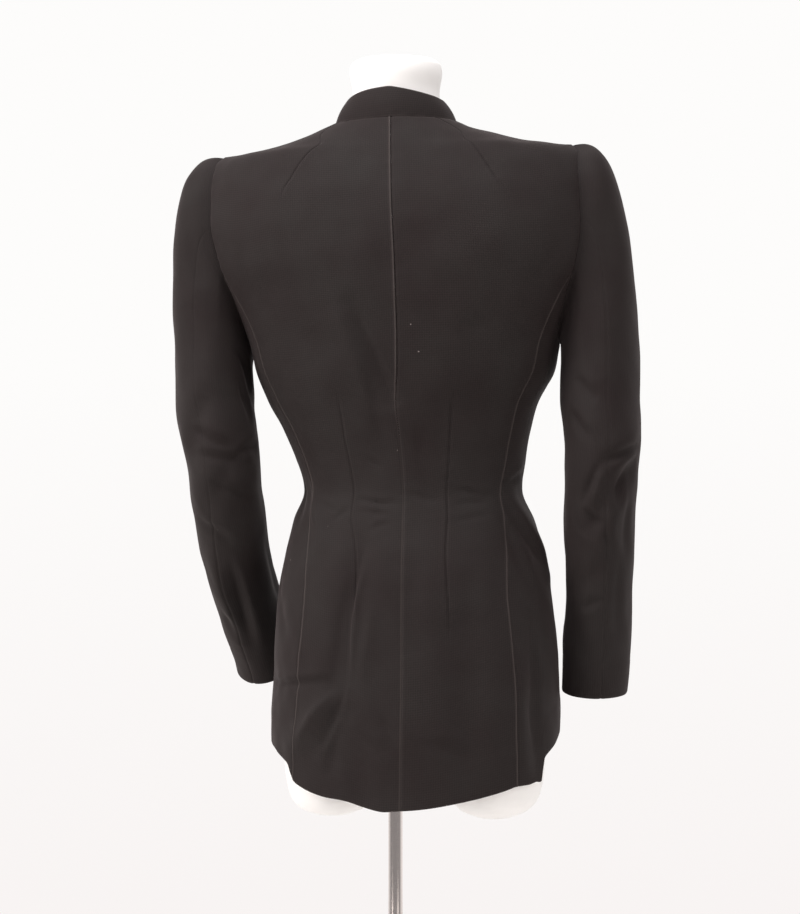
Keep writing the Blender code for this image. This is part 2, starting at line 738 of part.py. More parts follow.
def armhole_loop(side):
    """Places round the armhole: down the back, under the arm and up the front."""
    rising = [h for h in LEVELS if PRINCESS_TOP < h < SHOULDER_TIP]
    loop = [(90, SHOULDER_TIP)]
    loop += [(back_edge(h), h) for h in reversed(rising)]
    loop += [(place.angle, place.height) for place in UNDERARM]
    loop += [(front_side_edge(h), h) for h in rising]
    return [(side * angle, height) for angle, height in loop]


def arm_ring(side, height):
    """Ring of a sleeve square to the arm at a height."""
    forward_column = "left_forward" if side > 0 else "right_forward"

    def centre(at):
        out = read_down(at, "out") - (read_down(at, "left_in") if side > 0 else 0.0)
        x = side * out - read(BODY, "height", "sway", at)
        return Vector((x, -read_down(at, forward_column), at))

    middle = centre(height)
    down = (centre(height - ARM_STEP) - centre(height + ARM_STEP)).normalized()
    if height >= ARM[0].height:
        down = Vector((0, 0, -1))
    sideways = Vector((side, 0, 0))
    sideways = (sideways - down * sideways.dot(down)).normalized()
    back = down.cross(sideways) * side
    if back.y < 0:
        back = -back
    across, deep = read_down(height, "across"), read_down(height, "deep")
    ring = []
    for k in range(LOOP):
        turn = 2 * pi * k / LOOP
        ring.append(middle + sideways * across * cos(turn) + back * deep * sin(turn))
    return ring


ARM_UP = sorted(ARM, key=lambda station: station.height)


def read_down(height, column):
    return read(ARM_UP, "height", column, height)


def sleeve_tube(side, folds):
    """Outer and inner rings of a whole sleeve, from the armhole to the cuff."""
    start = [body_wall(angle, height)[0] for angle, height in armhole_loop(side)]
    bicep = arm_ring(side, ARM[0].height)
    cap = CAP_LEFT if side > 0 else CAP_RIGHT
    rings = []
    for step in CAP_STEPS:
        ring = []
        for a, b in zip(start, bicep):
            out = (1 - (1 - step) ** cap.square) ** cap.rise
            lift = 4 * cap.lift * out * (1 - out) * ease(CAP_LIFT_FROM, SHOULDER_TIP, a.z)
            x = a.x + (b.x - a.x) * out
            ring.append(Vector((x, a.y + (b.y - a.y) * step, a.z + (b.z - a.z) * step + lift)))
        rings.append(ring)
    top, bottom = ARM[0].height, ARM[-1].height
    heights = [top + (bottom - top) * i / ARM_ROWS for i in range(ARM_ROWS + 1)]
    rings += [arm_ring(side, height) for height in heights[1:]]
    normals = outward_normals(rings)
    shaped = []
    for ring, normal_ring in zip(rings, normals):
        row = []
        for p, n in zip(ring, normal_ring):
            rise = sum(sleeve_fold(p, side, fold) for fold in folds) if p.z < top else 0.0
            row.append(p + n * rise)
        shaped.append(row)
    normals = outward_normals(shaped)
    inner = [[p - n * CLOTH for p, n in zip(row, normal_row)] for row, normal_row in zip(shaped, normals)]
    return shaped, inner


def outward_normals(rings):
    normals = grid_normals(rings, closed=True)
    out = []
    for ring, row in zip(rings, normals):
        middle = sum(ring, Vector()) / len(ring)
        votes = sum(1 if n.dot(p - middle) > 0 else -1 for p, n in zip(ring, row))
        out.append([n if votes > 0 else -n for n in row])
    return out


def sleeve_fold(point, side, fold):
    def place(around, height):
        ring = arm_ring(side, height)
        at = around / 360 * LOOP
        low = int(at) % LOOP
        return ring[low].lerp(ring[(low + 1) % LOOP], at - int(at))

    start = place(fold.around_from, fold.height_from)
    end = place(fold.around_to, fold.height_to)
    return fold_rise(point, start, end, fold.width, fold.rise)


def make_sleeve(side_name, side, folds, material):
    outer, inner = sleeve_tube(side, folds)
    top_columns = list(range(FOREARM, LOOP)) + list(range(0, HINDARM + 1))
    under_columns = list(range(HINDARM, FOREARM + 1))
    for piece, columns in (("top", top_columns), ("under", under_columns)):
        grids = []
        for rings in (outer, inner):
            grid = [[ring[k] for k in columns] for ring in rings]
            inset(grid, first=SEAM / 2, last=SEAM / 2, bottom=SLEEVE_SEAM)
            grids.append(grid)
        cloth_wall(f"{piece}_sleeve_{side_name}", grids[0], grids[1], material)


def loft(build, rings):
    for low, high in zip(rings, rings[1:]):
        count = len(low)
        for j in range(count):
            k = (j + 1) % count
            build.faces.new((low[j], low[k], high[k], high[j]))


def make_form(name, material):
    """Torso with a neck stump; the lowest ring is split by a line and runs down into two stumps."""
    build = bmesh.new()
    rings = []
    for section in FORM:
        angles = [360 * j / FORM_COLUMNS for j in range(FORM_COLUMNS)]
        ring = [section_point(FORM, angle, section.height) for angle in angles]
        rings.append([build.verts.new(p) for p in ring])
    loft(build, rings)
    build.faces.new(rings[-1])
    base = rings[0]
    half = FORM_COLUMNS // 2
    back, front = base[0].co, base[half].co
    line = []
    for i in range(1, CROTCH_POINTS + 1):
        line.append(build.verts.new(front.lerp(back, i / (CROTCH_POINTS + 1))))
    left = base[: half + 1] + line
    right = [base[0]] + base[:half - 1:-1] + line
    for side, loop in ((1, left), (-1, right)):
        centre = Vector((side * STUMP_SPREAD - FORM[0].sway, (back.y + front.y) / 2, 0))
        rows = [loop]
        for stump in STUMPS:
            row = []
            for vertex in loop:
                offset = vertex.co - centre
                turn = atan2(offset.y / stump.half_depth, offset.x / stump.half_width)
                x = centre.x + stump.half_width * cos(turn)
                y = centre.y + stump.half_depth * sin(turn)
                start = Vector((vertex.co.x, vertex.co.y, stump.height))
                row.append(build.verts.new(start.lerp(Vector((x, y, stump.height)), stump.merge)))
            rows.append(row)
        loft(build, rows)
        end = build.verts.new((centre.x, centre.y, STUMP_END))
        last = rows[-1]
        for j in range(len(last)):
            build.faces.new((last[j], last[(j + 1) % len(last)], end))
    bmesh.ops.recalc_face_normals(build, faces=build.faces)
    form = add_object(name, build, material)
    cut = make_turned("socket_cut", [
        (0.0, SOCKET_BOTTOM - SEAT_BELOW),
        (SOCKET_RADIUS + SEAT_CLEARANCE, SOCKET_BOTTOM - SEAT_BELOW),
        (SOCKET_RADIUS + SEAT_CLEARANCE, SOCKET_TOP + SEAT_CLEARANCE),
        (0.0, SOCKET_TOP + SEAT_CLEARANCE),
    ], POLE_SIDES, material)
    cut.hide_render = True
    cut.display_type = "WIRE"
    difference = form.modifiers.new("socket seat", "BOOLEAN")
    difference.operation = "DIFFERENCE"
    difference.solver = "EXACT"
    difference.object = cut
    return form


def make_turned(name, profile, sides, material, place=None):
    """A closed turned solid from a profile of radius and height; radius 0 points close it."""
    build = bmesh.new()
    rings = []
    for radius, height in profile:
        if radius == 0.0:
            rings.append([build.verts.new((0, 0, height))])
            continue
        ring = []
        for j in range(sides):
            turn = 2 * pi * j / sides
            ring.append(build.verts.new((radius * cos(turn), radius * sin(turn), height)))
        rings.append(ring)
    for low, high in zip(rings, rings[1:]):
        for j in range(sides):
            k = (j + 1) % sides
            corners = []
            for vertex in (low[j % len(low)], low[k % len(low)], high[k % len(high)], high[j % len(high)]):
                if vertex not in corners:
                    corners.append(vertex)
            build.faces.new(corners)
    bmesh.ops.recalc_face_normals(build, faces=build.faces)
    if place is not None:
        bmesh.ops.transform(build, matrix=place, verts=build.verts)
    return add_object(name, build, material)


def make_button(name, height, material):
    """A round button with a dished face, on the outside of the right front."""
    outer, inner = body_wall(-180, height, over=True)
    normal = (outer - inner).normalized()
    high = 0.0
    for across in (-BUTTON_REACH, 0.0, BUTTON_REACH):
        for up in (-BUTTON_REACH, 0.0, BUTTON_REACH):
            near = body_wall(-front_angle(height + up, across), height + up, over=True)[0]
            high = max(high, (near - outer).dot(normal))
    seat = outer + normal * (high + BUTTON_SEAT)
    place = normal.to_track_quat("Z", "Y").to_matrix().to_4x4()
    place.translation = seat
    profile = [(BUTTON_RADIUS * radius, BUTTON_THICK * level) for radius, level in BUTTON_PROFILE]
    make_turned(name, profile, BUTTON_SIDES, material, place)


def make_stand(chrome, base_paint):
    make_turned("pole_socket", [
        (0.0, SOCKET_TOP),
        (SOCKET_RADIUS, SOCKET_TOP),
        (SOCKET_RADIUS, SOCKET_BOTTOM),
        (BORE, SOCKET_BOTTOM),
        (BORE, SOCKET_BORE_TOP),
        (0.0, SOCKET_BORE_TOP),
    ], POLE_SIDES, chrome)
    make_turned("pole", [
        (0.0, BORE_FLOOR + SEAT_CLEARANCE),
        (POLE_RADIUS, BORE_FLOOR + SEAT_CLEARANCE),
        (POLE_RADIUS, SOCKET_BORE_TOP - SEAT_CLEARANCE),
        (0.0, SOCKET_BORE_TOP - SEAT_CLEARANCE),
    ], POLE_SIDES, chrome)
    flare = [(HUB_RADIUS + out, BASE_THICK + up) for out, up in HUB_FLARE]
    make_turned("base_plate", [
        (0.0, 0.0),
        (BASE_RADIUS - BASE_EDGE, 0.0),
        (BASE_RADIUS, BASE_EDGE),
        (BASE_RADIUS, BASE_THICK - BASE_ROUND),
        (BASE_RADIUS - BASE_ROUND, BASE_THICK),
        *flare,
        (HUB_RADIUS, HUB_HEIGHT - BASE_ROUND),
        (HUB_RADIUS - BASE_ROUND, HUB_HEIGHT),
        (BORE, HUB_HEIGHT),
        (BORE, BORE_FLOOR),
        (0.0, BORE_FLOOR),
    ], BASE_SIDES, base_paint)


def main():
    clear_scene()
    cloth = make_material("black wool suiting", CLOTH_COLOUR, 0.85, 0.0)
    horn = make_material("black button resin", BUTTON_COLOUR, 0.35, 0.0)
    skin = make_material("off-white form", FORM_COLOUR, 0.45, 0.0)
    chrome = make_material("chromed tube", CHROME_COLOUR, 0.12, 1.0)
    plate = make_material("plated steel base", BASE_COLOUR, 0.25, 1.0)
    make_back("back_left", 1, cloth)
    make_back("back_right", -1, cloth)
    make_side("side_left", 1, cloth)
    make_side("side_right", -1, cloth)
    make_front("front_left", 1, False, cloth)
    make_front("front_right", -1, True, cloth)
    make_collar("collar", cloth)
    make_sleeve("left", 1, LEFT_SLEEVE_FOLDS, cloth)
    make_sleeve("right", -1, RIGHT_SLEEVE_FOLDS, cloth)
    for number, height in enumerate(BUTTON_HEIGHTS, 1):
        make_button(f"button_{number}", height, horn)
    make_form("dress_form", skin)
    make_stand(chrome, plate)


main()
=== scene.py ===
import math

import bmesh
import bpy
import numpy as np
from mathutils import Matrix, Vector


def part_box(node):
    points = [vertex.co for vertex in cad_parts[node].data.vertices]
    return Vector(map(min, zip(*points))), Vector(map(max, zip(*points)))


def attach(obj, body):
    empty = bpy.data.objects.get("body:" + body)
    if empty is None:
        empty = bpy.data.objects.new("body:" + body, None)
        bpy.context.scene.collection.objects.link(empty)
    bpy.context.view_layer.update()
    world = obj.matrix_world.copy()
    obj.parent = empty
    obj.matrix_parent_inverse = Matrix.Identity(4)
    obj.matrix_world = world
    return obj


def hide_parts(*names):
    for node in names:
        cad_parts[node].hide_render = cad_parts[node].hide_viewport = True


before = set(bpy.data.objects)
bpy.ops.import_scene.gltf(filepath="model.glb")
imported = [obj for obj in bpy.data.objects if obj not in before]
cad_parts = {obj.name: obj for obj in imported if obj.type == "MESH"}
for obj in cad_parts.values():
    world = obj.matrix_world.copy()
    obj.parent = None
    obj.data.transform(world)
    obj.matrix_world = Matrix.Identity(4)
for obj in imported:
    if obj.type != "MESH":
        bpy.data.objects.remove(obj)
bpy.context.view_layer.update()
mm = 0.001


# a short table: names of the columns, then the rows
def columns(names, rows):
    values = np.array(rows, float)
    return {name: values[:, i] for i, name in enumerate(names.split())}


# The cut, in metres and degrees. Angles run from the centre back, 90 at the wearer's left side.
cut = {
    "waist": 1.054,
    "panelLevel": 1.108,  # side panels have level rows up to here
    "sideTop": 1.290,  # where the side seams meet the armhole
    "shoulderTip": 1.427,
    "neckSeam": 1.458,
    "shoulderSpan": 0.19,
    "shoulderTilt": 0.0034,  # the left shoulder hangs lower
    "shoulderLower": 0.0012,
    "overlap": 0.018,
    "lapLift": 0.0029,  # the right front lies this far outside the left one
    "lapFlat": 0.023,
    "lapStart": 0.052,
}
bodyShape = columns("height halfWidth back front sway square", [
    [0.700, 0.158, 0.110, -0.133, 0.0195, 2.25],
    [0.780, 0.159, 0.109, -0.132, 0.0205, 2.25],
    [0.840, 0.1585, 0.106, -0.130, 0.0210, 2.25],
    [0.920, 0.153, 0.101, -0.125, 0.0205, 2.20],
    [0.955, 0.1485, 0.096, -0.121, 0.0200, 2.15],
    [0.988, 0.1420, 0.087, -0.116, 0.0195, 2.10],
    [1.021, 0.1340, 0.075, -0.110, 0.0185, 2.05],
    [1.054, 0.1215, 0.068, -0.105, 0.0175, 2.05],
    [1.087, 0.1275, 0.070, -0.106, 0.0145, 2.10],
    [1.120, 0.1375, 0.076, -0.111, 0.0105, 2.15],
    [1.153, 0.1510, 0.082, -0.119, 0.0065, 2.20],
    [1.186, 0.1655, 0.088, -0.126, 0.0075, 2.30],
    [1.215, 0.1710, 0.093, -0.129, 0.0075, 2.35],
    [1.264, 0.1900, 0.098, -0.125, 0.0065, 2.45],
    [1.300, 0.2060, 0.099, -0.117, 0.0055, 2.55],
    [1.340, 0.2130, 0.096, -0.105, 0.0035, 2.60],
    [1.380, 0.2100, 0.088, -0.090, 0.0020, 2.55],
    [1.408, 0.2040, 0.078, -0.077, 0.0015, 2.40],
    [1.427, 0.1920, 0.069, -0.066, 0.0015, 2.20],
    [1.4277, 0.1680, 0.0686, -0.0656, 0.0015, 2.18],
    [1.4305, 0.1480, 0.067, -0.064, 0.0015, 2.15],
    [1.4335, 0.1380, 0.066, -0.0625, 0.0015, 2.12],
    [1.438, 0.1240, 0.064, -0.060, 0.0015, 2.10],
    [1.443, 0.1060, 0.061, -0.057, 0.0015, 2.10],
    [1.4465, 0.0930, 0.059, -0.055, 0.0015, 2.05],
    [1.4515, 0.0800, 0.056, -0.052, 0.0010, 2.05],
    [1.458, 0.0670, 0.052, -0.050, 0.0010, 2.00],
])
hemLine = columns("angle height", [
    [0, 0.7175], [10, 0.7215], [20, 0.7265], [30, 0.7315], [45, 0.7405], [60, 0.756],
    [72, 0.770], [90, 0.780], [110, 0.784], [140, 0.785], [190, 0.785],
])
# How the worn hem departs from that cut: a kick at the left side seam, and a step at the right side.
hemShift = {
    1: columns("angle rise", [
        [0, 0.0005], [6, -0.003], [12, -0.002], [20, 0.0], [31, -0.002], [40, -0.001], [45.5, 0.0], [49, 0.006],
        [52, 0.0135], [58, 0.0120], [65, 0.009], [72, 0.004], [80, 0.001], [90, 0.0], [190, 0.0],
    ]),
    -1: columns("angle rise", [
        [0, 0.0005], [6, 0.0], [45, 0.0], [50, -0.0035], [55, -0.0085], [60, -0.0125], [64.5, -0.0180], [67, 0.0035],
        [72, 0.0050], [78, 0.0065], [88, 0.0110], [100, 0.006], [114, 0.0], [190, 0.0],
    ]),
}
seamLines = columns("height centreBack sideBack sideFront", [
    [0.700, 0.0000, 48, 118],
    [0.820, 0.0000, 46, 118],
    [0.930, 0.0000, 45, 120],
    [1.000, 0.0000, 50, 123],
    [1.054, 0.0005, 55.5, 125],
    [1.087, 0.0015, 58.5, 125],
    [1.153, 0.0045, 60.5, 124],
    [1.213, 0.0060, 62, 122],
    [1.264, 0.0063, 65.5, 119],
    [1.290, 0.0063, 68, 117],
    [1.320, 0.0062, 68, 117],
    [1.380, 0.0050, 68, 117],
    [1.458, 0.0005, 68, 117],
])
armhole = columns("height back front", [
    [1.290, 22, 27], [1.315, 22, 27], [1.340, 21.5, 26], [1.365, 20.5, 24],
    [1.388, 18.5, 21], [1.408, 14, 15.5], [1.427, 0, 0],
])
underarm = columns("angle height", [
    [68, 1.290], [71.5, 1.262], [77, 1.237], [85, 1.2195],
    [95, 1.215], [104.5, 1.222], [112, 1.247], [117, 1.290],
])
neckline = columns("height edge band", [
    [1.212, -0.018, 0.002],
    [1.238, 0.009, 0.005],
    [1.264, 0.022, 0.012],
    [1.290, 0.033, 0.018],
    [1.340, 0.049, 0.025],
    [1.388, 0.058, 0.029],
    [1.427, 0.0615, 0.031],
    [1.458, 0.0615, 0.031],
])
# Large folds of the body: a straight run, its width and how far it stands out.
bodyFolds = columns("angleFrom heightFrom angleTo heightTo width rise", [
    [9, 1.252, 1, 1.150, 0.011, -0.0040],
    [14, 1.235, 6, 1.140, 0.012, 0.0025],
    [17, 0.995, 24, 0.825, 0.017, -0.0060],
    [78, 0.848, 27, 0.843, 0.012, -0.0045],
    [27, 0.834, 48, 0.778, 0.014, 0.0045],
    [21, 0.812, 12, 0.735, 0.019, -0.0060],
    [57, 1.066, 41, 0.999, 0.012, 0.0030],
    [-64, 1.043, -86, 0.965, 0.014, 0.0050],
    [-57, 0.915, -62, 0.757, 0.014, -0.0045],
    [-20, 0.905, -27, 0.745, 0.020, -0.0035],
    [112, 0.985, 135, 0.800, 0.020, -0.0050],
    [-108, 0.960, -140, 0.790, 0.020, -0.0050],
    [150, 1.060, 172, 1.036, 0.012, -0.0030],
    [-146, 1.072, -170, 1.040, 0.012, -0.0030],
    [118, 1.190, 140, 1.125, 0.016, -0.0030],
    [-120, 1.180, -143, 1.118, 0.016, -0.0030],
])
# The arm that each sleeve follows: distance out, how much nearer the left one hangs, how far each
# lies forward, and half the sleeve's width and depth.
armLine = columns("height out leftIn leftForward rightForward across deep", [
    [0.832, 0.1950, 0.0100, 0.128, 0.042, 0.0360, 0.0425],
    [0.870, 0.1970, 0.0070, 0.105, 0.033, 0.0365, 0.0435],
    [0.915, 0.2000, 0.0030, 0.077, 0.023, 0.0370, 0.0450],
    [0.960, 0.2025, -0.0015, 0.049, 0.014, 0.0370, 0.0465],
    [1.000, 0.2040, -0.0025, 0.027, 0.007, 0.0380, 0.0485],
    [1.040, 0.2055, -0.0025, 0.009, 0.001, 0.0390, 0.0505],
    [1.075, 0.2095, 0.0025, -0.001, -0.002, 0.0400, 0.0520],
    [1.110, 0.2150, 0.0065, -0.002, -0.001, 0.0415, 0.0545],
    [1.150, 0.2170, 0.0065, 0.004, 0.004, 0.0425, 0.0565],
    [1.190, 0.2165, 0.0030, 0.008, 0.008, 0.0425, 0.0580],
])
sleeveHead = {1: {"square": 5.2, "rise": 0.39, "lift": 0.0018}, -1: {"square": 1.7, "rise": 0.335, "lift": 0.0026}}
loopCount = 19  # steps of the sleeve's own measure round the armhole
hindArm = 4  # its back seam, in those steps
foreArm = 13  # its front seam
capSpan = 0.2  # levels from the upper arm up to the armhole


# a smooth curve through a table's rows that never overshoots them
def readCurve(places, values, at):
    steps = np.diff(places)
    slopes = np.diff(values) / steps
    before, after = slopes[:-1], slopes[1:]
    same = before * after > 0
    inner = np.where(same, 2 * before * after / np.where(same, before + after, 1.0), 0.0)
    tangents = np.concatenate([slopes[:1], inner, slopes[-1:]])
    at = np.clip(np.asarray(at, float), places[0], places[-1])
    i = np.clip(np.searchsorted(places, at, side="right") - 1, 0, len(steps) - 1)
    step = steps[i]
    t = (at - places[i]) / step
    rise = (2 * t**3 - 3 * t**2 + 1) * values[i] + (3 * t**2 - 2 * t**3) * values[i + 1]
    return rise + (t**3 - 2 * t**2 + t) * step * tangents[i] + (t**3 - t**2) * step * tangents[i + 1]


def ease(low, high, at):
    t = np.clip((at - low) / (high - low), 0.0, 1.0)
    return t * t * (3 - 2 * t)


def signedPower(value, exponent):
    return np.sign(value) * np.abs(value) ** exponent


# point of a rounded section at an angle and a height
def sectionPoint(shape, angle, height):
    angle, height = np.broadcast_arrays(np.asarray(angle, float), np.asarray(height, float))
    def read(name):
        return readCurve(shape["height"], shape[name], height)
    exponent = 2 / read("square")
    back, front, turn = read("back"), read("front"), np.radians(angle)
    x = read("halfWidth") * signedPower(np.sin(turn), exponent) - read("sway")
    y = (back + front) / 2 + (back - front) / 2 * signedPower(np.cos(turn), exponent)
    drop = x / cut["shoulderSpan"] * cut["shoulderTilt"] + cut["shoulderLower"]
    drop = drop * ease(1.26, 1.40, height) * (1 - ease(cut["neckSeam"], 1.49, height))
    return np.stack([x, y, height - drop], axis=-1)


def unit(vectors):
    return vectors / np.maximum(np.linalg.norm(vectors, axis=-1, keepdims=True), 1e-12)


def sectionNormal(shape, angle, height):
    along = sectionPoint(shape, angle + 0.6, height) - sectionPoint(shape, angle - 0.6, height)
    up = sectionPoint(shape, angle, height + 0.0015) - sectionPoint(shape, angle, height - 0.0015)
    return unit(np.cross(up, along))


# distance of points from a run, share along it, and which side they are on
def runDistance(points, normals, path):
    nearest = np.full(points.shape[:-1], 1e9)
    share = np.zeros(points.shape[:-1])
    hand = np.ones(points.shape[:-1])
    for i in range(len(path) - 1):
        run = path[i + 1] - path[i]
        offset = points - path[i]
        t = np.clip(offset @ run / max(run @ run, 1e-12), 0, 1)
        gap = offset - t[..., None] * run
        distance = np.linalg.norm(gap, axis=-1)
        closer = distance < nearest
        nearest = np.where(closer, distance, nearest)
        share = np.where(closer, (i + t) / (len(path) - 1), share)
        hand = np.where(closer, np.sign(np.sum(np.cross(run, gap) * normals, axis=-1)), hand)
    return nearest, share, hand


# the large folds that the solids have too
def largeFolds(points, normals):
    total = np.zeros(points.shape[:-1])
    for i in range(len(bodyFolds["rise"])):
        fold = {name: values[i] for name, values in bodyFolds.items()}
        ends = [sectionPoint(bodyShape, fold["angleFrom"], fold["heightFrom"]),
                sectionPoint(bodyShape, fold["angleTo"], fold["heightTo"])]
        distance, share, _ = runDistance(points, normals, ends)
        fade = 0.35 + 0.65 * np.sin(math.pi * (0.15 + 0.7 * share))
        total += fold["rise"] * fade * np.exp(-((distance / fold["width"]) ** 2))
    return total


def backEdge(height):
    above = 90 - readCurve(armhole["height"], armhole["back"], height)
    return np.where(height <= cut["sideTop"], readCurve(seamLines["height"], seamLines["sideBack"], height), above)


def frontSideEdge(height):
    above = 90 + readCurve(armhole["height"], armhole["front"], height)
    return np.where(height <= cut["sideTop"], readCurve(seamLines["height"], seamLines["sideFront"], height), above)


# angle at which something lies this far from the centre line, at the back or the front
def angleAt(height, distance, front=False):
    half = readCurve(bodyShape["height"], bodyShape["halfWidth"], height)
    square = readCurve(bodyShape["height"], bodyShape["square"], height) / 2
    turn = np.degrees(np.arcsin(np.clip(signedPower(distance / half, square), -1, 1)))
    return 180 - turn if front else turn


def centreBackAngle(height):
    return -angleAt(height, readCurve(seamLines["height"], seamLines["centreBack"], height))


def hemHeight(angle):
    away = np.abs(angle)
    left, right = (readCurve(hemShift[side]["angle"], hemShift[side]["rise"], away) for side in (1, -1))
    return readCurve(hemLine["angle"], hemLine["height"], away) + np.where(np.asarray(angle) >= 0, left, right)


# places of the armhole in the sleeve's own steps round it
def armholePlace(q):
    q = np.mod(np.asarray(q, float), loopCount)
    down = np.interp(q, [0, 1, 2, 3, 4, 5, 6], [1.427, 1.408, 1.388, 1.365, 1.340, 1.315, 1.290])
    under = np.interp(q, np.arange(6, 14), underarm["angle"])
    up = np.interp(q, [13, 14, 15, 16, 17, 18, 19], [1.290, 1.315, 1.340, 1.365, 1.388, 1.408, 1.427])
    angle = np.where(q <= 6, 90 - readCurve(armhole["height"], armhole["back"], down), under)
    angle = np.where(q >= 13, 90 + readCurve(armhole["height"], armhole["front"], up), angle)
    height = np.where(q <= 6, down, readCurve(underarm["angle"], underarm["height"], under))
    return angle, np.where(q >= 13, up, height)


def armRead(name, height):
    return readCurve(armLine["height"], armLine[name], height)


def armCentre(side, height):
    out = armRead("out", height) - (armRead("leftIn", height) if side > 0 else 0.0)
    x = side * out - readCurve(bodyShape["height"], bodyShape["sway"], height)
    return np.stack([x, -armRead("leftForward" if side > 0 else "rightForward", height), height], axis=-1)


# point of a sleeve: q round it from the shoulder tip down the back, and a level, which is a height
# below the upper arm and runs on up to the armhole at 1.39
def sleevePoint(side, q, level):
    q, level = np.broadcast_arrays(np.asarray(q, float), np.asarray(level, float))
    top = armLine["height"][-1]
    height = np.minimum(level, top)
    middle = armCentre(side, height)
    down = unit(armCentre(side, height - 0.01) - armCentre(side, height + 0.01))
    flat = ease(top - 0.02, top, height)[..., None]
    down = unit(down * (1 - flat) + np.array([0, 0, -1.0]) * flat)
    sideways = np.array([float(side), 0, 0])
    sideways = unit(sideways - down * down[..., :1] * side)
    back = np.cross(down, sideways)
    back = back * np.sign(back[..., 1:2])
    turn = 2 * math.pi * q / loopCount
    ring = middle + sideways * (armRead("across", height) * np.cos(turn))[..., None]
    ring = ring + back * (armRead("deep", height) * np.sin(turn))[..., None]
    angle, place = armholePlace(q)
    start = sectionPoint(bodyShape, side * angle, place)
    step = 1 - np.clip((level - top) / capSpan, 0, 1)
    head = sleeveHead[side]
    out = (1 - (1 - step) ** head["square"]) ** head["rise"]
    lift = 4 * head["lift"] * out * (1 - out) * ease(1.360, cut["shoulderTip"], start[..., 2])
    cap = np.stack([
        start[..., 0] + (ring[..., 0] - start[..., 0]) * out,
        start[..., 1] + (ring[..., 1] - start[..., 1]) * step,
        start[..., 2] + (ring[..., 2] - start[..., 2]) * step + lift,
    ], axis=-1)
    return np.where((level > top)[..., None], cap, ring)


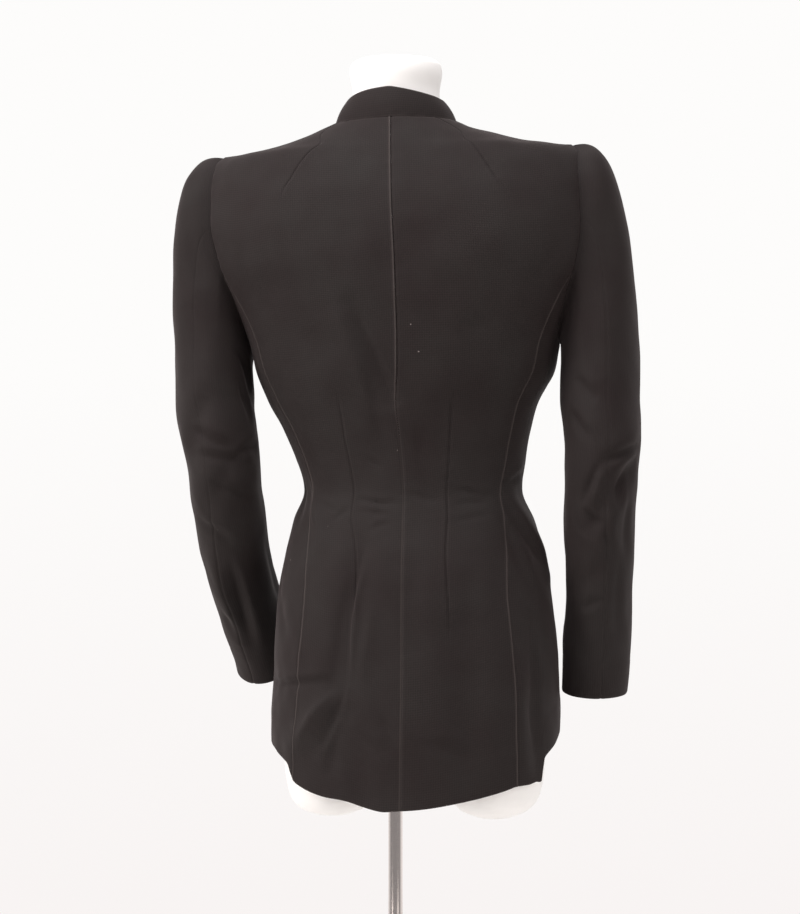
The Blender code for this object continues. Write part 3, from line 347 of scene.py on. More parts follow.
# Creases of the body: the back as in the photograph, and the hidden sides in the same manner.
creaseNames = "aFrom hFrom aTo hTo bow width rise lip"
bodyCreases = columns(creaseNames, [
    [8.0, 1.242, -1.8, 1.151, 3, 4.5, -1.8, 0.6],  # the sharp one left of the centre back
    [7.2, 1.193, 5.8, 1.097, -2, 8, -1.2, 0.2],
    [23.5, 1.046, 2.5, 1.041, 2, 3, -1.1, 0.4],  # short level ones at the waist
    [23.0, 1.031, 5.0, 1.027, -2, 3, -0.9, 0.4],
    [37.2, 1.022, 27.0, 1.035, 1, 4, -0.9, 0.3],
    [17.5, 1.092, 7.8, 1.078, 1, 3.5, -0.8, 0.3],
    [16.8, 1.012, 4.8, 1.022, 1, 3.5, -0.7, 0.3],
    [51.8, 1.043, 30.0, 1.031, 2, 4, -0.9, 0.3],
    [-24.8, 1.057, -50.8, 1.048, 2, 4, -1.0, 0.3],  # right waist
    [-25.2, 1.039, -48.8, 1.041, -2, 4, -0.9, 0.3],
    [-54.0, 1.044, -81.8, 0.967, 5, 8, -2.0, 0.3],
    [-50.2, 1.031, -63.2, 0.937, 4, 8, -1.5, 0.2],
    [-57.2, 1.060, -88.0, 1.076, 2, 5, -1.1, 0.3],
    [-22.2, 1.023, -43.8, 1.031, 2, 4, -0.7, 0.3],
    [-0.8, 1.053, -17.8, 1.044, 2, 4, -0.7, 0.3],
    [16.5, 0.996, 23.5, 0.833, 4, 9, -1.3, 0.2],  # skirt
    [17.2, 0.990, 20.5, 0.850, 3, 3.5, -1.0, 1.1],
    [14.5, 0.985, 18.0, 0.860, 3, 6.0, 1.3, 0.0],
    [14.0, 0.800, 2.0, 0.775, 4, 8.0, -1.2, 0.4],
    [-4.0, 0.790, -26.0, 0.765, -4, 9.0, -0.9, 0.4],
    [10.0, 0.930, 13.0, 0.840, 3, 8, 0.8, 0.0],
    [20.5, 0.850, 33.0, 0.775, -4, 4.5, -1.2, 0.6],
    [80.5, 0.844, 24.5, 0.854, 3, 4.5, -1.1, 0.7],
    [24.5, 0.843, 42.8, 0.787, 2, 6, 1.6, -0.4],
    [20.0, 0.820, 27.0, 0.745, 3, 9, -1.6, 0.1],
    [4.8, 0.819, 0.8, 0.783, 2, 9, -1.2, 0.2],
    [-59.8, 0.916, -59.5, 0.767, 3, 7, -2.0, 0.3],
    [-49.2, 0.885, -51.0, 0.748, 2, 8, 1.2, 0.0],
    [58.8, 1.065, 40.0, 1.001, 2, 6, 1.4, 0.0],
    [82.0, 1.079, 64.0, 1.021, 2, 6, -1.2, 0.2],
    [82.2, 0.975, 52.5, 0.882, 2, 10, -1.2, 0.1],
    [-54.8, 1.319, -48.0, 1.257, 4, 11, -1.0, 0.1],  # upper back
    [47.0, 1.314, 46.5, 1.238, 4, 11, -1.0, 0.1],
    [31.0, 1.226, 13.8, 1.204, 4, 14, -0.8, 0.1],
    [-19.2, 1.224, -35.2, 1.245, 4, 14, -0.8, 0.1],
    [-9.8, 1.129, -13.2, 1.065, 3, 9, -0.8, 0.1],
    [-28.2, 0.981, -28.2, 0.835, 5, 16, -1.3, 0.1],
    [-4.8, 0.981, -5.5, 0.877, 4, 14, -1.0, 0.1],
    [98, 1.070, 128, 1.046, 3, 6, -1.2, 0.3],  # sides
    [102, 1.040, 124, 1.018, -3, 5, -1.0, 0.3],
    [96, 0.990, 104, 0.860, 5, 11, -1.6, 0.1],
    [-96, 1.066, -126, 1.050, 3, 6, -1.2, 0.3],
    [-100, 1.034, -122, 1.014, -3, 5, -1.0, 0.3],
    [-98, 0.985, -106, 0.850, 5, 11, -1.6, 0.1],
    [94, 1.190, 104, 1.110, 4, 9, -1.2, 0.2],
    [-94, 1.185, -104, 1.105, 4, 9, -1.2, 0.2],
    [173, 1.118, 146, 1.150, 3, 7, -1.4, 0.3],  # fronts: pulls that start at the buttons
    [172, 1.114, 143, 1.098, -3, 6, -1.3, 0.3],
    [172, 1.036, 140, 1.052, 3, 6, -1.2, 0.3],
    [172, 1.030, 142, 0.990, -4, 8, -1.4, 0.2],
    [-171, 1.118, -147, 1.152, -3, 7, -1.4, 0.3],
    [-171, 1.113, -144, 1.096, 3, 6, -1.3, 0.3],
    [-171, 1.037, -141, 1.053, -3, 6, -1.2, 0.3],
    [-171, 1.030, -143, 0.992, 4, 8, -1.4, 0.2],
    [-172, 1.194, -150, 1.218, 3, 8, -1.1, 0.2],
    [152, 0.960, 158, 0.830, 5, 12, -1.5, 0.1],
    [-150, 0.955, -156, 0.830, 5, 12, -1.5, 0.1],
    [132, 1.300, 138, 1.232, 4, 11, -1.1, 0.1],
    [-131, 1.302, -137, 1.236, 4, 11, -1.1, 0.1],
])
# Creases of the sleeves, by step round the sleeve and level. The first of each are large folds.
sleeveCreases = {
    1: columns(creaseNames, [
        [5.01, 1.150, 2.11, 1.085, 2, 14, -4.5, 0.0],
        [6.33, 1.085, 3.17, 1.045, 2, 13, -4.0, 0.0],
        [3.69, 1.020, 2.90, 0.930, 2, 12, 3.5, 0.0],
        [5.28, 0.990, 3.96, 0.900, 2, 13, -4.5, 0.0],
        [15.31, 1.060, 12.14, 1.085, 2, 14, -6.0, 0.0],
        [15.83, 1.020, 12.67, 1.035, 2, 13, -4.5, 0.0],
        [3.10, 1.119, 6.60, 1.090, 3, 7, -2.2, 0.4],  # slack above the elbow
        [3.20, 1.097, 7.85, 1.075, 3, 7, -1.9, 0.4],
        [3.85, 1.072, 8.20, 1.049, 3, 6, -1.7, 0.4],
        [2.70, 1.036, 5.75, 1.013, 3, 7, -1.7, 0.3],
        [3.70, 0.997, 3.65, 0.894, 3, 8, 2.0, 0.0],  # long ridge down to the cuff
        [5.15, 0.998, 5.00, 0.888, 3, 7, -2.3, 0.3],
        [7.35, 1.247, 9.05, 1.149, 3, 7, -2.0, 0.4],  # under the arm
        [7.40, 1.176, 8.50, 1.116, 3, 6, -1.6, 0.4],
        [3.15, 1.276, 4.50, 1.169, 5, 14, -1.3, 0.1],
        [1.20, 0.987, 2.20, 0.948, 3, 7, -1.2, 0.3],
        [6.10, 1.086, 9.55, 1.096, 3, 6, -1.6, 0.3],
        [3.00, 0.941, 3.55, 0.906, 2, 6, -1.0, 0.3],
        [3.10, 1.366, 4.45, 1.311, 4, 12, -1.2, 0.1],
        [12.2, 1.075, 16.6, 1.052, 3, 7, -2.4, 0.4],  # inside of the elbow
        [11.6, 1.045, 15.8, 1.010, -3, 7, -2.0, 0.4],
        [12.8, 1.010, 16.2, 0.975, 3, 6, -1.6, 0.3],
        [14.0, 1.250, 15.5, 1.150, 4, 12, -1.4, 0.1],
        [16.5, 1.340, 17.5, 1.260, 4, 13, -1.2, 0.1],
        [9.0, 1.000, 9.6, 0.900, 3, 9, -1.4, 0.1],
    ]),
    -1: columns(creaseNames, [
        [0.53, 1.088, 3.96, 1.050, 2, 12, -5.0, 0.0],
        [0.79, 1.115, 4.22, 1.095, 2, 14, 3.0, 0.0],
        [3.96, 1.050, 5.81, 1.010, 2, 12, -4.5, 0.0],
        [2.90, 1.060, 4.22, 0.985, 2, 12, 3.5, 0.0],
        [4.22, 0.985, 6.86, 0.940, 2, 12, -3.5, 0.0],
        [15.31, 1.070, 12.40, 1.085, 2, 14, -5.5, 0.0],
        [1.00, 1.101, 4.65, 1.081, 4, 6, -2.6, 0.5],  # the broken elbow
        [4.65, 1.081, 6.10, 1.040, 4, 6, -2.4, 0.5],
        [6.10, 1.040, 4.10, 1.025, 3, 5, -1.9, 0.4],
        [4.10, 1.025, 3.50, 0.993, 2, 6, -1.6, 0.3],
        [2.15, 1.078, 3.25, 1.039, 3, 6, -1.8, 0.4],
        [4.00, 0.945, 6.25, 0.932, 3, 6, -1.4, 0.3],
        [5.15, 1.301, 4.55, 1.166, 5, 13, -1.5, 0.1],
        [6.60, 1.173, 4.60, 1.143, 3, 8, -1.8, 0.3],
        [7.25, 1.138, 5.40, 1.106, 3, 7, -1.8, 0.3],
        [1.65, 1.049, 1.80, 0.984, 3, 8, -1.2, 0.2],
        [5.40, 0.988, 5.65, 0.901, 3, 9, 1.3, 0.0],
        [2.70, 0.986, 2.60, 0.901, 3, 8, -1.2, 0.1],
        [2.55, 1.376, 2.85, 1.300, 4, 13, -1.2, 0.1],
        [12.0, 1.085, 16.4, 1.060, 3, 7, -2.4, 0.4],
        [11.4, 1.052, 15.6, 1.020, -3, 7, -2.0, 0.4],
        [12.6, 1.015, 16.0, 0.985, 3, 6, -1.6, 0.3],
        [14.2, 1.245, 15.4, 1.150, 4, 12, -1.4, 0.1],
        [16.4, 1.345, 17.4, 1.260, 4, 13, -1.2, 0.1],
        [8.8, 1.000, 9.4, 0.900, 3, 9, -1.4, 0.1],
    ]),
}
# The dart lines of the back panels, and where each is sewn.
dartLines = {
    1: columns("height angle", [
        [0.739, 17.2], [0.833, 17.0], [0.938, 18.5], [0.980, 19.8], [1.044, 26.0], [1.098, 24.6], [1.156, 20.5],
        [1.215, 21.0], [1.300, 23.5], [1.381, 26.8], [1.396, 25.0], [1.411, 23.8], [1.427, 24.5], [1.433, 31.0],
        [1.439, 39.0], [1.447, 60.0],
    ]),
    -1: columns("height angle", [
        [0.741, 18.5], [0.835, 17.0], [0.913, 16.8], [0.981, 17.5], [1.044, 21.5], [1.108, 23.2], [1.158, 23.5],
        [1.214, 25.0], [1.297, 28.0], [1.368, 31.8], [1.379, 29.5], [1.391, 27.5], [1.404, 26.0], [1.422, 24.6],
        [1.430, 30.0], [1.436, 36.0], [1.444, 46.8],
    ]),
}
dartSewn = columns("height depth", [
    [0.70, 0.0], [0.895, 0.0], [0.925, 1.0], [1.135, 1.0], [1.165, 0.0], [1.366, 0.0], [1.386, 1.0], [1.47, 1.0],
])


# how the cloth is cut up into small cells, and how seams and edges sit
clothGrid = {
    "skirtRows": 108,
    "bodyRows": 84,
    "armholeRows": 50,
    "nearEdge": np.array([0.5, 1.1, 1.9, 3.0, 4.6]) * mm,  # close cells beside each seam and edge
}
sewing = {
    "sink": 0.75 * mm,  # how deep a pressed seam line lies
    "sinkWidth": 1.4 * mm,
    "lip": 0.6 * mm,
    "lipAt": 0.9 * mm,
    "lipWidth": 1.5 * mm,
    "ridgeHighlightWidth": 0.8 * mm,
    "allowance": 1.6 * mm,
    "pucker": 0.20 * mm,
    "puckerStep": 12 * mm,
    "puckerReach": 6 * mm,
    "edgeRound": 0.6 * mm,
    "edgeWidth": 1.0 * mm,
    "edgeWear": 1.2 * mm,
    "hemDepth": 38 * mm,
    "hemRise": 0.25 * mm,
    "shell": 1.4 * mm,
    "degree": 2.4 * mm,  # length of a degree round the body, about
    "sleeveStep": 16.8 * mm,  # length of one step round a sleeve
    "foldSoft": 4.4 * mm,
    "foldEnd": 1.9 * mm,
    "creaseDepth": 1.75,
    "creaseWidth": 0.9,
    "largeFold": 3.0,  # creases deeper than this, in millimetres, are drawn as they are listed
}


def cellPlaces(length, count):
    near = clothGrid["nearEdge"] * min(1.0, length / 0.04)
    even = np.linspace(near[-1], length - near[-1], count + 1)
    return np.concatenate([[0.0], near[:-1], even, length - near[-2::-1], [length]])


# running length along one way of a grid of points
def runLength(points, axis):
    step = np.linalg.norm(np.diff(points, axis=axis), axis=-1)
    total = np.cumsum(step, axis=axis)
    start = np.zeros_like(np.take(total, [0], axis=axis))
    return np.concatenate([start, total], axis=axis)


def gridNormals(points, outward, wrap=False):
    if wrap:
        along = np.roll(points, -1, axis=1) - np.roll(points, 1, axis=1)
    else:
        along = np.gradient(points, axis=1)
    normals = unit(np.cross(along, np.gradient(points, axis=0)))
    return normals * np.where(np.sum(normals * outward) < 0, -1.0, 1.0)


waves = np.random.default_rng(11)
waveTable = []
for length, height, count in ((0.110, 0.34, 5), (0.062, 0.18, 6), (0.027, 0.065, 7)):
    for _ in range(count):
        direction = waves.normal(size=3) * np.array([1.0, 1.0, 0.75])
        direction = direction / np.linalg.norm(direction)
        size = length * waves.uniform(0.8, 1.25)
        waveTable.append((direction * 2 * math.pi / size, waves.uniform(0, 2 * math.pi), height * mm))


# worn cloth is never quite even: low waves of several lengths
def unevenness(points):
    total = np.zeros(points.shape[:-1])
    for turn, phase, height in waveTable:
        total += height * np.sin(points @ turn + phase)
    return total


def seamPucker(points):
    turn = 2 * math.pi / sewing["puckerStep"]
    along = points @ np.array([0.3, 0.8, 1.0])
    swell = 0.6 + 0.4 * np.sin(points @ np.array([40.0, 55.0, 47.0]))
    return sewing["pucker"] * swell * np.sin(along * turn + 1.7 * np.sin(points[..., 2] * 90))


# one side of a seam lies low; the other, with the allowance pressed under it, stands up as a lip
def seamSink(points, distance, raised=0.0):
    sink = -sewing["sink"] * np.exp(-((distance / sewing["sinkWidth"]) ** 2))
    lip = sewing["lip"] * np.exp(-(((distance - sewing["lipAt"]) / sewing["lipWidth"]) ** 2))
    pucker = seamPucker(points) * np.exp(-((distance / sewing["puckerReach"]) ** 2))
    return sink * (1 - raised) + lip * raised + pucker


# A crease runs between two places with a bow to one side. Width, rise and bow are in millimetres,
# and lip is the share of its depth that the cloth stands up on one side.
def creaseRise(points, normals, creases, place, step):
    total = np.zeros(points.shape[:-1])
    for i in range(len(creases["rise"])):
        crease = {name: values[i] for name, values in creases.items()}
        across = (crease["aTo"] - crease["aFrom"]) * step
        up = crease["hTo"] - crease["hFrom"]
        length = max(math.hypot(across, up), 1e-6)
        t = np.linspace(0, 1, 9)
        bow = crease["bow"] * mm * np.sin(math.pi * t) + 0.6 * mm * np.sin(3 * math.pi * t + i)
        a = crease["aFrom"] + (crease["aTo"] - crease["aFrom"]) * t - up / length * bow / step
        h = crease["hFrom"] + up * t + across / length * bow
        path = place(a, h)
        small = abs(crease["rise"]) < sewing["largeFold"]
        width = crease["width"] * mm * (sewing["creaseWidth"] if small else 1.0)
        deep = crease["rise"] * mm * (sewing["creaseDepth"] if small else 1.0)
        reach = 4 * width
        near = np.all((points > path.min(axis=0) - reach) & (points < path.max(axis=0) + reach), axis=-1)
        if not near.any():
            continue
        distance, share, hand = runDistance(points[near], normals[near], path)
        fade = np.sin(math.pi * np.clip(share, 0.02, 0.98)) ** 0.7
        size = width * (0.75 + 0.5 * share)
        trough = np.exp(-((distance / size) ** 2))
        lip = crease["lip"] * np.exp(-(((distance * hand - 1.7 * size) / size) ** 2))
        total[near] += deep * fade * (trough - lip)
    return total


def bodyPlace(a, h):
    return sectionPoint(bodyShape, a, h)


def bodyRise(points, normals):
    rise = largeFolds(points, normals) + unevenness(points)
    rise = rise + creaseRise(points, normals, bodyCreases, bodyPlace, sewing["degree"])
    past = np.minimum(rise + sewing["foldSoft"], 0) / sewing["foldEnd"]  # folds stay clear of the form
    return np.where(past < 0, -sewing["foldSoft"] - sewing["foldEnd"] * (1 - np.exp(past)), rise)


def gridArea(points):
    a = points[1:, :-1] - points[:-1, :-1]
    b = points[:-1, 1:] - points[:-1, :-1]
    return float(np.linalg.norm(np.cross(a, b), axis=-1).sum())


def meshObject(name, vertices, faces, material, uv=None, sharp=50):
    mesh = bpy.data.meshes.new(name)
    mesh.from_pydata(vertices.tolist(), [], faces)
    if uv is not None:
        layer = mesh.uv_layers.new(name="cut")
        corner = np.empty(len(mesh.loops), dtype=np.int32)
        mesh.loops.foreach_get("vertex_index", corner)
        layer.data.foreach_set("uv", uv[corner].astype(np.float32).ravel())
    mesh.materials.append(material)
    mesh.shade_smooth()
    mesh.set_sharp_from_angle(angle=math.radians(sharp))
    mesh.update()
    piece = bpy.data.objects.new(name, mesh)
    bpy.context.scene.collection.objects.link(piece)
    return piece


# a closed thin shell of cloth under a grid of outer points
def clothPiece(name, points, outward, material, node, wearAndRidgeHighlight, thick=None):
    normals = gridNormals(points, outward)
    depth = sewing["shell"] if thick is None else thick
    inner = points - normals * (depth[..., None] if np.ndim(depth) else depth)
    rows, columns = points.shape[:2]
    index = np.arange(rows * columns).reshape(rows, columns)
    under = index + rows * columns
    a, b, c, d = index[:-1, :-1], index[:-1, 1:], index[1:, 1:], index[1:, :-1]
    outerFaces = np.stack([a, b, c, d], axis=-1).reshape(-1, 4)
    innerFaces = np.stack([a, d, c, b], axis=-1).reshape(-1, 4) + rows * columns
    rim = []
    for edge, lower in ((index[0], under[0]), (index[:, -1], under[:, -1]),
                        (index[-1, ::-1], under[-1, ::-1]), (index[::-1, 0], under[::-1, 0])):
        rim.append(np.stack([edge[:-1], lower[:-1], lower[1:], edge[1:]], axis=-1))
    faces = np.concatenate([outerFaces, innerFaces, *rim])
    if np.sum(np.cross(points[0, 1] - points[0, 0], points[1, 0] - points[0, 0]) * normals[0, 0]) < 0:
        faces = faces[:, ::-1]
    across, up = runLength(points, 1), runLength(points, 0)
    uv = np.stack([across, up], axis=-1).reshape(-1, 2)
    vertices = np.concatenate([points.reshape(-1, 3), inner.reshape(-1, 3)])
    piece = meshObject(name, vertices, faces.tolist(), material, np.concatenate([uv, uv]))
    # vertex layer for a lighter colour: wear at free edges, a painted highlight along the seam ridges
    ridgeHighlightAndWearLayer = piece.data.attributes.new("wearAndRidgeHighlight", "FLOAT", "POINT")
    ridgeHighlightAndWearLayer.data.foreach_set("value", np.concatenate([wearAndRidgeHighlight.ravel(), wearAndRidgeHighlight.ravel() * 0]).astype(np.float32))
    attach(piece, "root")
    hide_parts(node)
    gridArea(points)


# panels of the body, from the hem up
def skirtHeight(angle, share):
    low = hemHeight(angle)
    return low + (cut["waist"] - low) * share


def skirtEdge(share, edge, side=1):
    angle = edge(np.full(share.shape, cut["waist"]))
    for _ in range(6):
        angle = edge(skirtHeight(side * angle, share))
    return angle


def rowPlaces():
    near = clothGrid["nearEdge"] / 0.32
    return np.concatenate([[0.0], near[:-1], np.linspace(near[-1], 1.0, clothGrid["skirtRows"])])


def levelPlaces():
    levels = [
        np.linspace(cut["waist"], cut["sideTop"], clothGrid["bodyRows"] + 1)[1:],
        np.linspace(cut["sideTop"], cut["shoulderTip"], clothGrid["armholeRows"] + 1)[1:],
    ]
    shoulder = [cut["shoulderTip"], 1.4277, 1.4305, 1.4335, 1.438, 1.443, 1.4465, 1.4515, cut["neckSeam"]]
    for low, high, count in zip(shoulder, shoulder[1:], (9, 7, 4, 5, 7, 5, 5, 7)):
        levels.append(np.linspace(low, high, count + 1)[1:])
    return np.concatenate(levels)


# columns of each row, placed by length along it: between its edges, or on both sides of a guide line
def placeColumns(low, high, heightAt, counts, guide=None):
    share = np.linspace(0, 1, 181)
    angles = low[:, None] + (high - low)[:, None] * share
    heights = heightAt(angles)
    lengths = runLength(sectionPoint(bodyShape, angles, heights), 1)
    placed = []
    for i in range(len(low)):
        total = lengths[i, -1]
        if guide is None:
            at = cellPlaces(total, counts[0])
        else:
            middle = np.interp((guide[i] - low[i]) / (high[i] - low[i]), share, lengths[i])
            at = np.concatenate([cellPlaces(middle, counts[0]), middle + cellPlaces(total - middle, counts[1])[1:]])
        placed.append(np.interp(at, lengths[i], angles[i]))
    placed = np.array(placed)
    return placed, heightAt(placed)


shoulderEase = {"passes": 90, "reach": 0.014}


# rounds the turn between the upper back and the top of the shoulder; the edges stay where they are
def easeShoulder(base, normals, height, armholeEdge):
    smooth = base.copy()
    for _ in range(shoulderEase["passes"]):
        smooth[1:-1] = 0.25 * smooth[:-2] + 0.5 * smooth[1:-1] + 0.25 * smooth[2:]
    across = runLength(base, 1)
    fromLast = 1 - np.exp(-(((across[:, -1:] - across) / shoulderEase["reach"]) ** 2))
    weight = ease(1.37, 1.40, height) * fromLast
    if armholeEdge == "first":
        weight = weight * (1 - np.exp(-((across / shoulderEase["reach"]) ** 2)))
    base = base + (smooth - base) * weight[..., None]
    inside = weight * (1 - ease(1.4515, 1.4575, height))
    normals = unit(normals + (gridNormals(base, normals) - normals) * inside[..., None])
    return base, normals


# gives the cloth its outer face from places on the body, with its folds, seams and edges
def bodyFace(angle, height, edges, extra=None, armholeEdge="last"):
    base = bodyPlace(angle, height)
    normals = sectionNormal(bodyShape, angle, height)
    if height.max() > cut["shoulderTip"]:
        base, normals = easeShoulder(base, normals, height, armholeEdge)
    rise = bodyRise(base, normals)
    if extra is not None:
        rise = rise + extra(base, height)
    across, up = runLength(base, 1), runLength(base, 0)
    distance = {
        "first": across, "last": across[:, -1:] - across, "bottom": up, "top": up[-1:] - up,
    }
    wearAndRidgeHighlight, deeper = np.zeros(height.shape), np.zeros(height.shape)
    shallow = 1 - 0.45 * ease(1.36, 1.42, base[..., 2])  # the armhole lies flatter over the shoulder
    for edge, kind in edges.items():
        # along each seam the lighter line laid on the raised lip is a painted highlight where the ridge catches light;
        # along free edges the lighter colour is wear
        line = np.exp(-(((distance[edge] - sewing["lipAt"]) / sewing["ridgeHighlightWidth"]) ** 2))
        if kind in ("seam", "lip", "centre"):  # the pressed-open allowance closes each seam from inside
            deeper = np.maximum(deeper, sewing["allowance"] * np.exp(-((distance[edge] / sewing["sinkWidth"]) ** 2)))
        if kind == "seam":
            rise = rise + seamSink(base, distance[edge]) * (shallow if edge == armholeEdge else 1.0)
            wearAndRidgeHighlight = np.maximum(wearAndRidgeHighlight, 0.08 * line)
        elif kind == "lip":
            below = 1 - ease(1.26, 1.29, height)
            rise = rise + seamSink(base, distance[edge], below) * shallow
            wearAndRidgeHighlight = np.maximum(wearAndRidgeHighlight, (0.08 + 0.45 * below) * line)
        elif kind == "centre":
            above = ease(1.10, 1.20, height)
            rise = rise + seamSink(base, distance[edge], above)
            wearAndRidgeHighlight = np.maximum(wearAndRidgeHighlight, (0.4 + 0.2 * above - 0.3 * ease(1.0, 1.08, height) * (1 - above)) * line)
        else:
            wearAndRidgeHighlight = np.maximum(wearAndRidgeHighlight, 0.25 * np.exp(-((distance[edge] / sewing["edgeWear"]) ** 2)))
            rise = rise - sewing["edgeRound"] * np.exp(-((distance[edge] / sewing["edgeWidth"]) ** 2))
            inside = 1 - ease(sewing["hemDepth"] - 3 * mm, sewing["hemDepth"] + 2 * mm, distance[edge])
            rise = rise + (sewing["hemRise"] * inside if edge == "bottom" else 0.0)
    return base + normals * rise[..., None], normals, wearAndRidgeHighlight, sewing["shell"] + deeper


def makeBack(sideName, side, material):
    skirt, levels = rowPlaces(), levelPlaces()
    low = np.concatenate([centreBackAngle(skirtHeight(0.0, skirt)), centreBackAngle(levels)])
    high = side * np.concatenate([skirtEdge(skirt, backEdge, side), backEdge(levels)])
    shares = np.concatenate([skirt, np.ones(len(levels))])[:, None]
    isSkirt = np.arange(len(low))[:, None] < len(skirt)
    flat = np.concatenate([skirt * 0, levels])[:, None]

    def heightAt(angles):
        return np.where(isSkirt, skirtHeight(angles, shares), flat)

    line = dartLines[side]
    guideHeight = np.concatenate([skirtHeight(20.0, skirt), levels])
    guide = side * readCurve(line["height"], line["angle"], guideHeight)
    angle, height = placeColumns(low, high, heightAt, (18, 26), guide)
    dartColumn = 18 + 2 * len(clothGrid["nearEdge"])

    def dart(base, height):
        across = runLength(base, 1)
        gap = across - across[:, dartColumn:dartColumn + 1]
        depth = np.interp(height, dartSewn["height"], dartSewn["depth"])
        groove = -0.9 * mm * np.exp(-((gap / (1.3 * mm)) ** 2))
        ridge = 0.35 * mm * np.exp(-(((gap + 3.2 * mm) / (2.2 * mm)) ** 2))
        pull = seamPucker(base) * np.exp(-((gap / sewing["puckerReach"]) ** 2))
        return depth * (groove + ridge + pull)

    edges = {"first": "centre" if side > 0 else "seam", "last": "lip", "bottom": "hem", "top": "seam"}
    points, normals, wearAndRidgeHighlight, thick = bodyFace(angle, height, edges, dart)
    clothPiece(f"cloth_back_{sideName}", points, normals, material, f"back_{sideName}", wearAndRidgeHighlight, thick)


def makeSide(sideName, side, material):
    skirt = rowPlaces()
    places = np.linspace(underarm["angle"][0], underarm["angle"][-1], 400)
    tops = readCurve(underarm["angle"], underarm["height"], places)
    shareOf = (places - backEdge(tops)) / (frontSideEdge(tops) - backEdge(tops))
    shareOf[0], shareOf[-1] = 0.0, 1.0
    share = cellPlaces(0.150, 62) / 0.150
    top = np.interp(share, shareOf, tops)
    lowEdge, highEdge = (skirtEdge(skirt, edge, side)[:, None] for edge in (backEdge, frontSideEdge))
    angles = [lowEdge + (highEdge - lowEdge) * share]
    heights = [skirtHeight(side * angles[0], skirt[:, None])]
    count = clothGrid["bodyRows"]
    near = clothGrid["nearEdge"] / 0.10
    part = np.concatenate([np.linspace(0, 1 - near[-1], count - 20), 1 - near[-2::-1], [1.0]])
    lower = np.linspace(cut["waist"], cut["panelLevel"], 20)[1:, None] + 0 * share
    upper = cut["panelLevel"] + (top - cut["panelLevel"]) * part[1:, None]
    level = np.concatenate([lower, upper])
    heights.append(level)
    angles.append(backEdge(level) + (frontSideEdge(level) - backEdge(level)) * share)
    angle, height = side * np.concatenate(angles), np.concatenate(heights)
    edges = {"first": "seam", "last": "seam", "bottom": "hem", "top": "seam"}
    points, normals, wearAndRidgeHighlight, thick = bodyFace(angle, height, edges)
    clothPiece(f"cloth_side_{sideName}", points, normals, material, f"side_{sideName}", wearAndRidgeHighlight, thick)


cornerRise = columns("distance rise", [[0, 0.060], [0.018, 0.0395], [0.041, 0.0104], [0.070, 0.0004], [0.090, 0.0]])


def lapRise(base, height):
    fromCentre = -(base[..., 0] + readCurve(bodyShape["height"], bodyShape["sway"], height))
    near = 1 - ease(cut["lapFlat"], cut["lapStart"], fromCentre)
    return cut["lapLift"] * near * (1 - ease(1.235, 1.300, height))


def makeFront(sideName, side, material):
    skirt, levels = rowPlaces(), levelPlaces()
    middle = skirtHeight(180.0, skirt)
    drawnIn = 0.055 * (1 - ease(0.0, 0.30, skirt)) ** 3 - cut["overlap"]
    edge = np.concatenate([drawnIn, readCurve(neckline["height"], neckline["edge"], levels)])
    low = side * np.concatenate([skirtEdge(skirt, frontSideEdge), frontSideEdge(levels)])
    high = side * angleAt(np.concatenate([middle, levels]), edge, front=True)
    shares = np.concatenate([skirt, np.ones(len(levels))])[:, None]
    isSkirt = np.arange(len(low))[:, None] < len(skirt)
    flat = np.concatenate([skirt * 0, levels])[:, None]
    near = np.concatenate([middle, levels])[:, None]

    def heightAt(angles):
        half = readCurve(bodyShape["height"], bodyShape["halfWidth"], near)
        square = readCurve(bodyShape["height"], bodyShape["square"], near)
        across = half * signedPower(np.sin(np.radians(side * angles)), 2 / square)
        bottom = hemHeight(angles) + readCurve(cornerRise["distance"], cornerRise["rise"], across - edge[:, None])
        return np.where(isSkirt, bottom + (cut["waist"] - bottom) * shares, flat)

    angle, height = placeColumns(low, high, heightAt, (64,))
    edges = {"first": "seam", "last": "edge", "bottom": "hem", "top": "seam"}
    points, normals, wearAndRidgeHighlight, thick = bodyFace(angle, height, edges, lapRise if side < 0 else None, "first")
    clothPiece(f"cloth_front_{sideName}", points, normals, material, f"front_{sideName}", wearAndRidgeHighlight, thick)


# collar: a plain band that stands at the back and lies along the V
collarCut = {
    "backTop": 1.4905, "sideTop": 1.4805, "halfWidth": 0.0535, "back": 0.0455, "front": -0.0500,
    "from": 1.2225, "standsFrom": 1.370, "turnsFrom": 1.400, "turn": 50, "neckTurn": 11,
    "bulge": 1.5 * mm, "thick": 2.1 * mm, "lie": 1.0 * mm, "rows": 18,
}


def bandTop(angle):
    share = np.abs(angle) / 90
    height = collarCut["backTop"] + (collarCut["sideTop"] - collarCut["backTop"]) * share
    height = height + 0.0012 * np.sin(np.radians(angle * 2.3 + 25)) * (np.abs(angle) < 100)
    turn = np.radians(angle)
    middle = (collarCut["back"] + collarCut["front"]) / 2
    depth = (collarCut["back"] - collarCut["front"]) / 2
    return np.stack([collarCut["halfWidth"] * np.sin(turn), middle + depth * np.cos(turn), height], axis=-1)


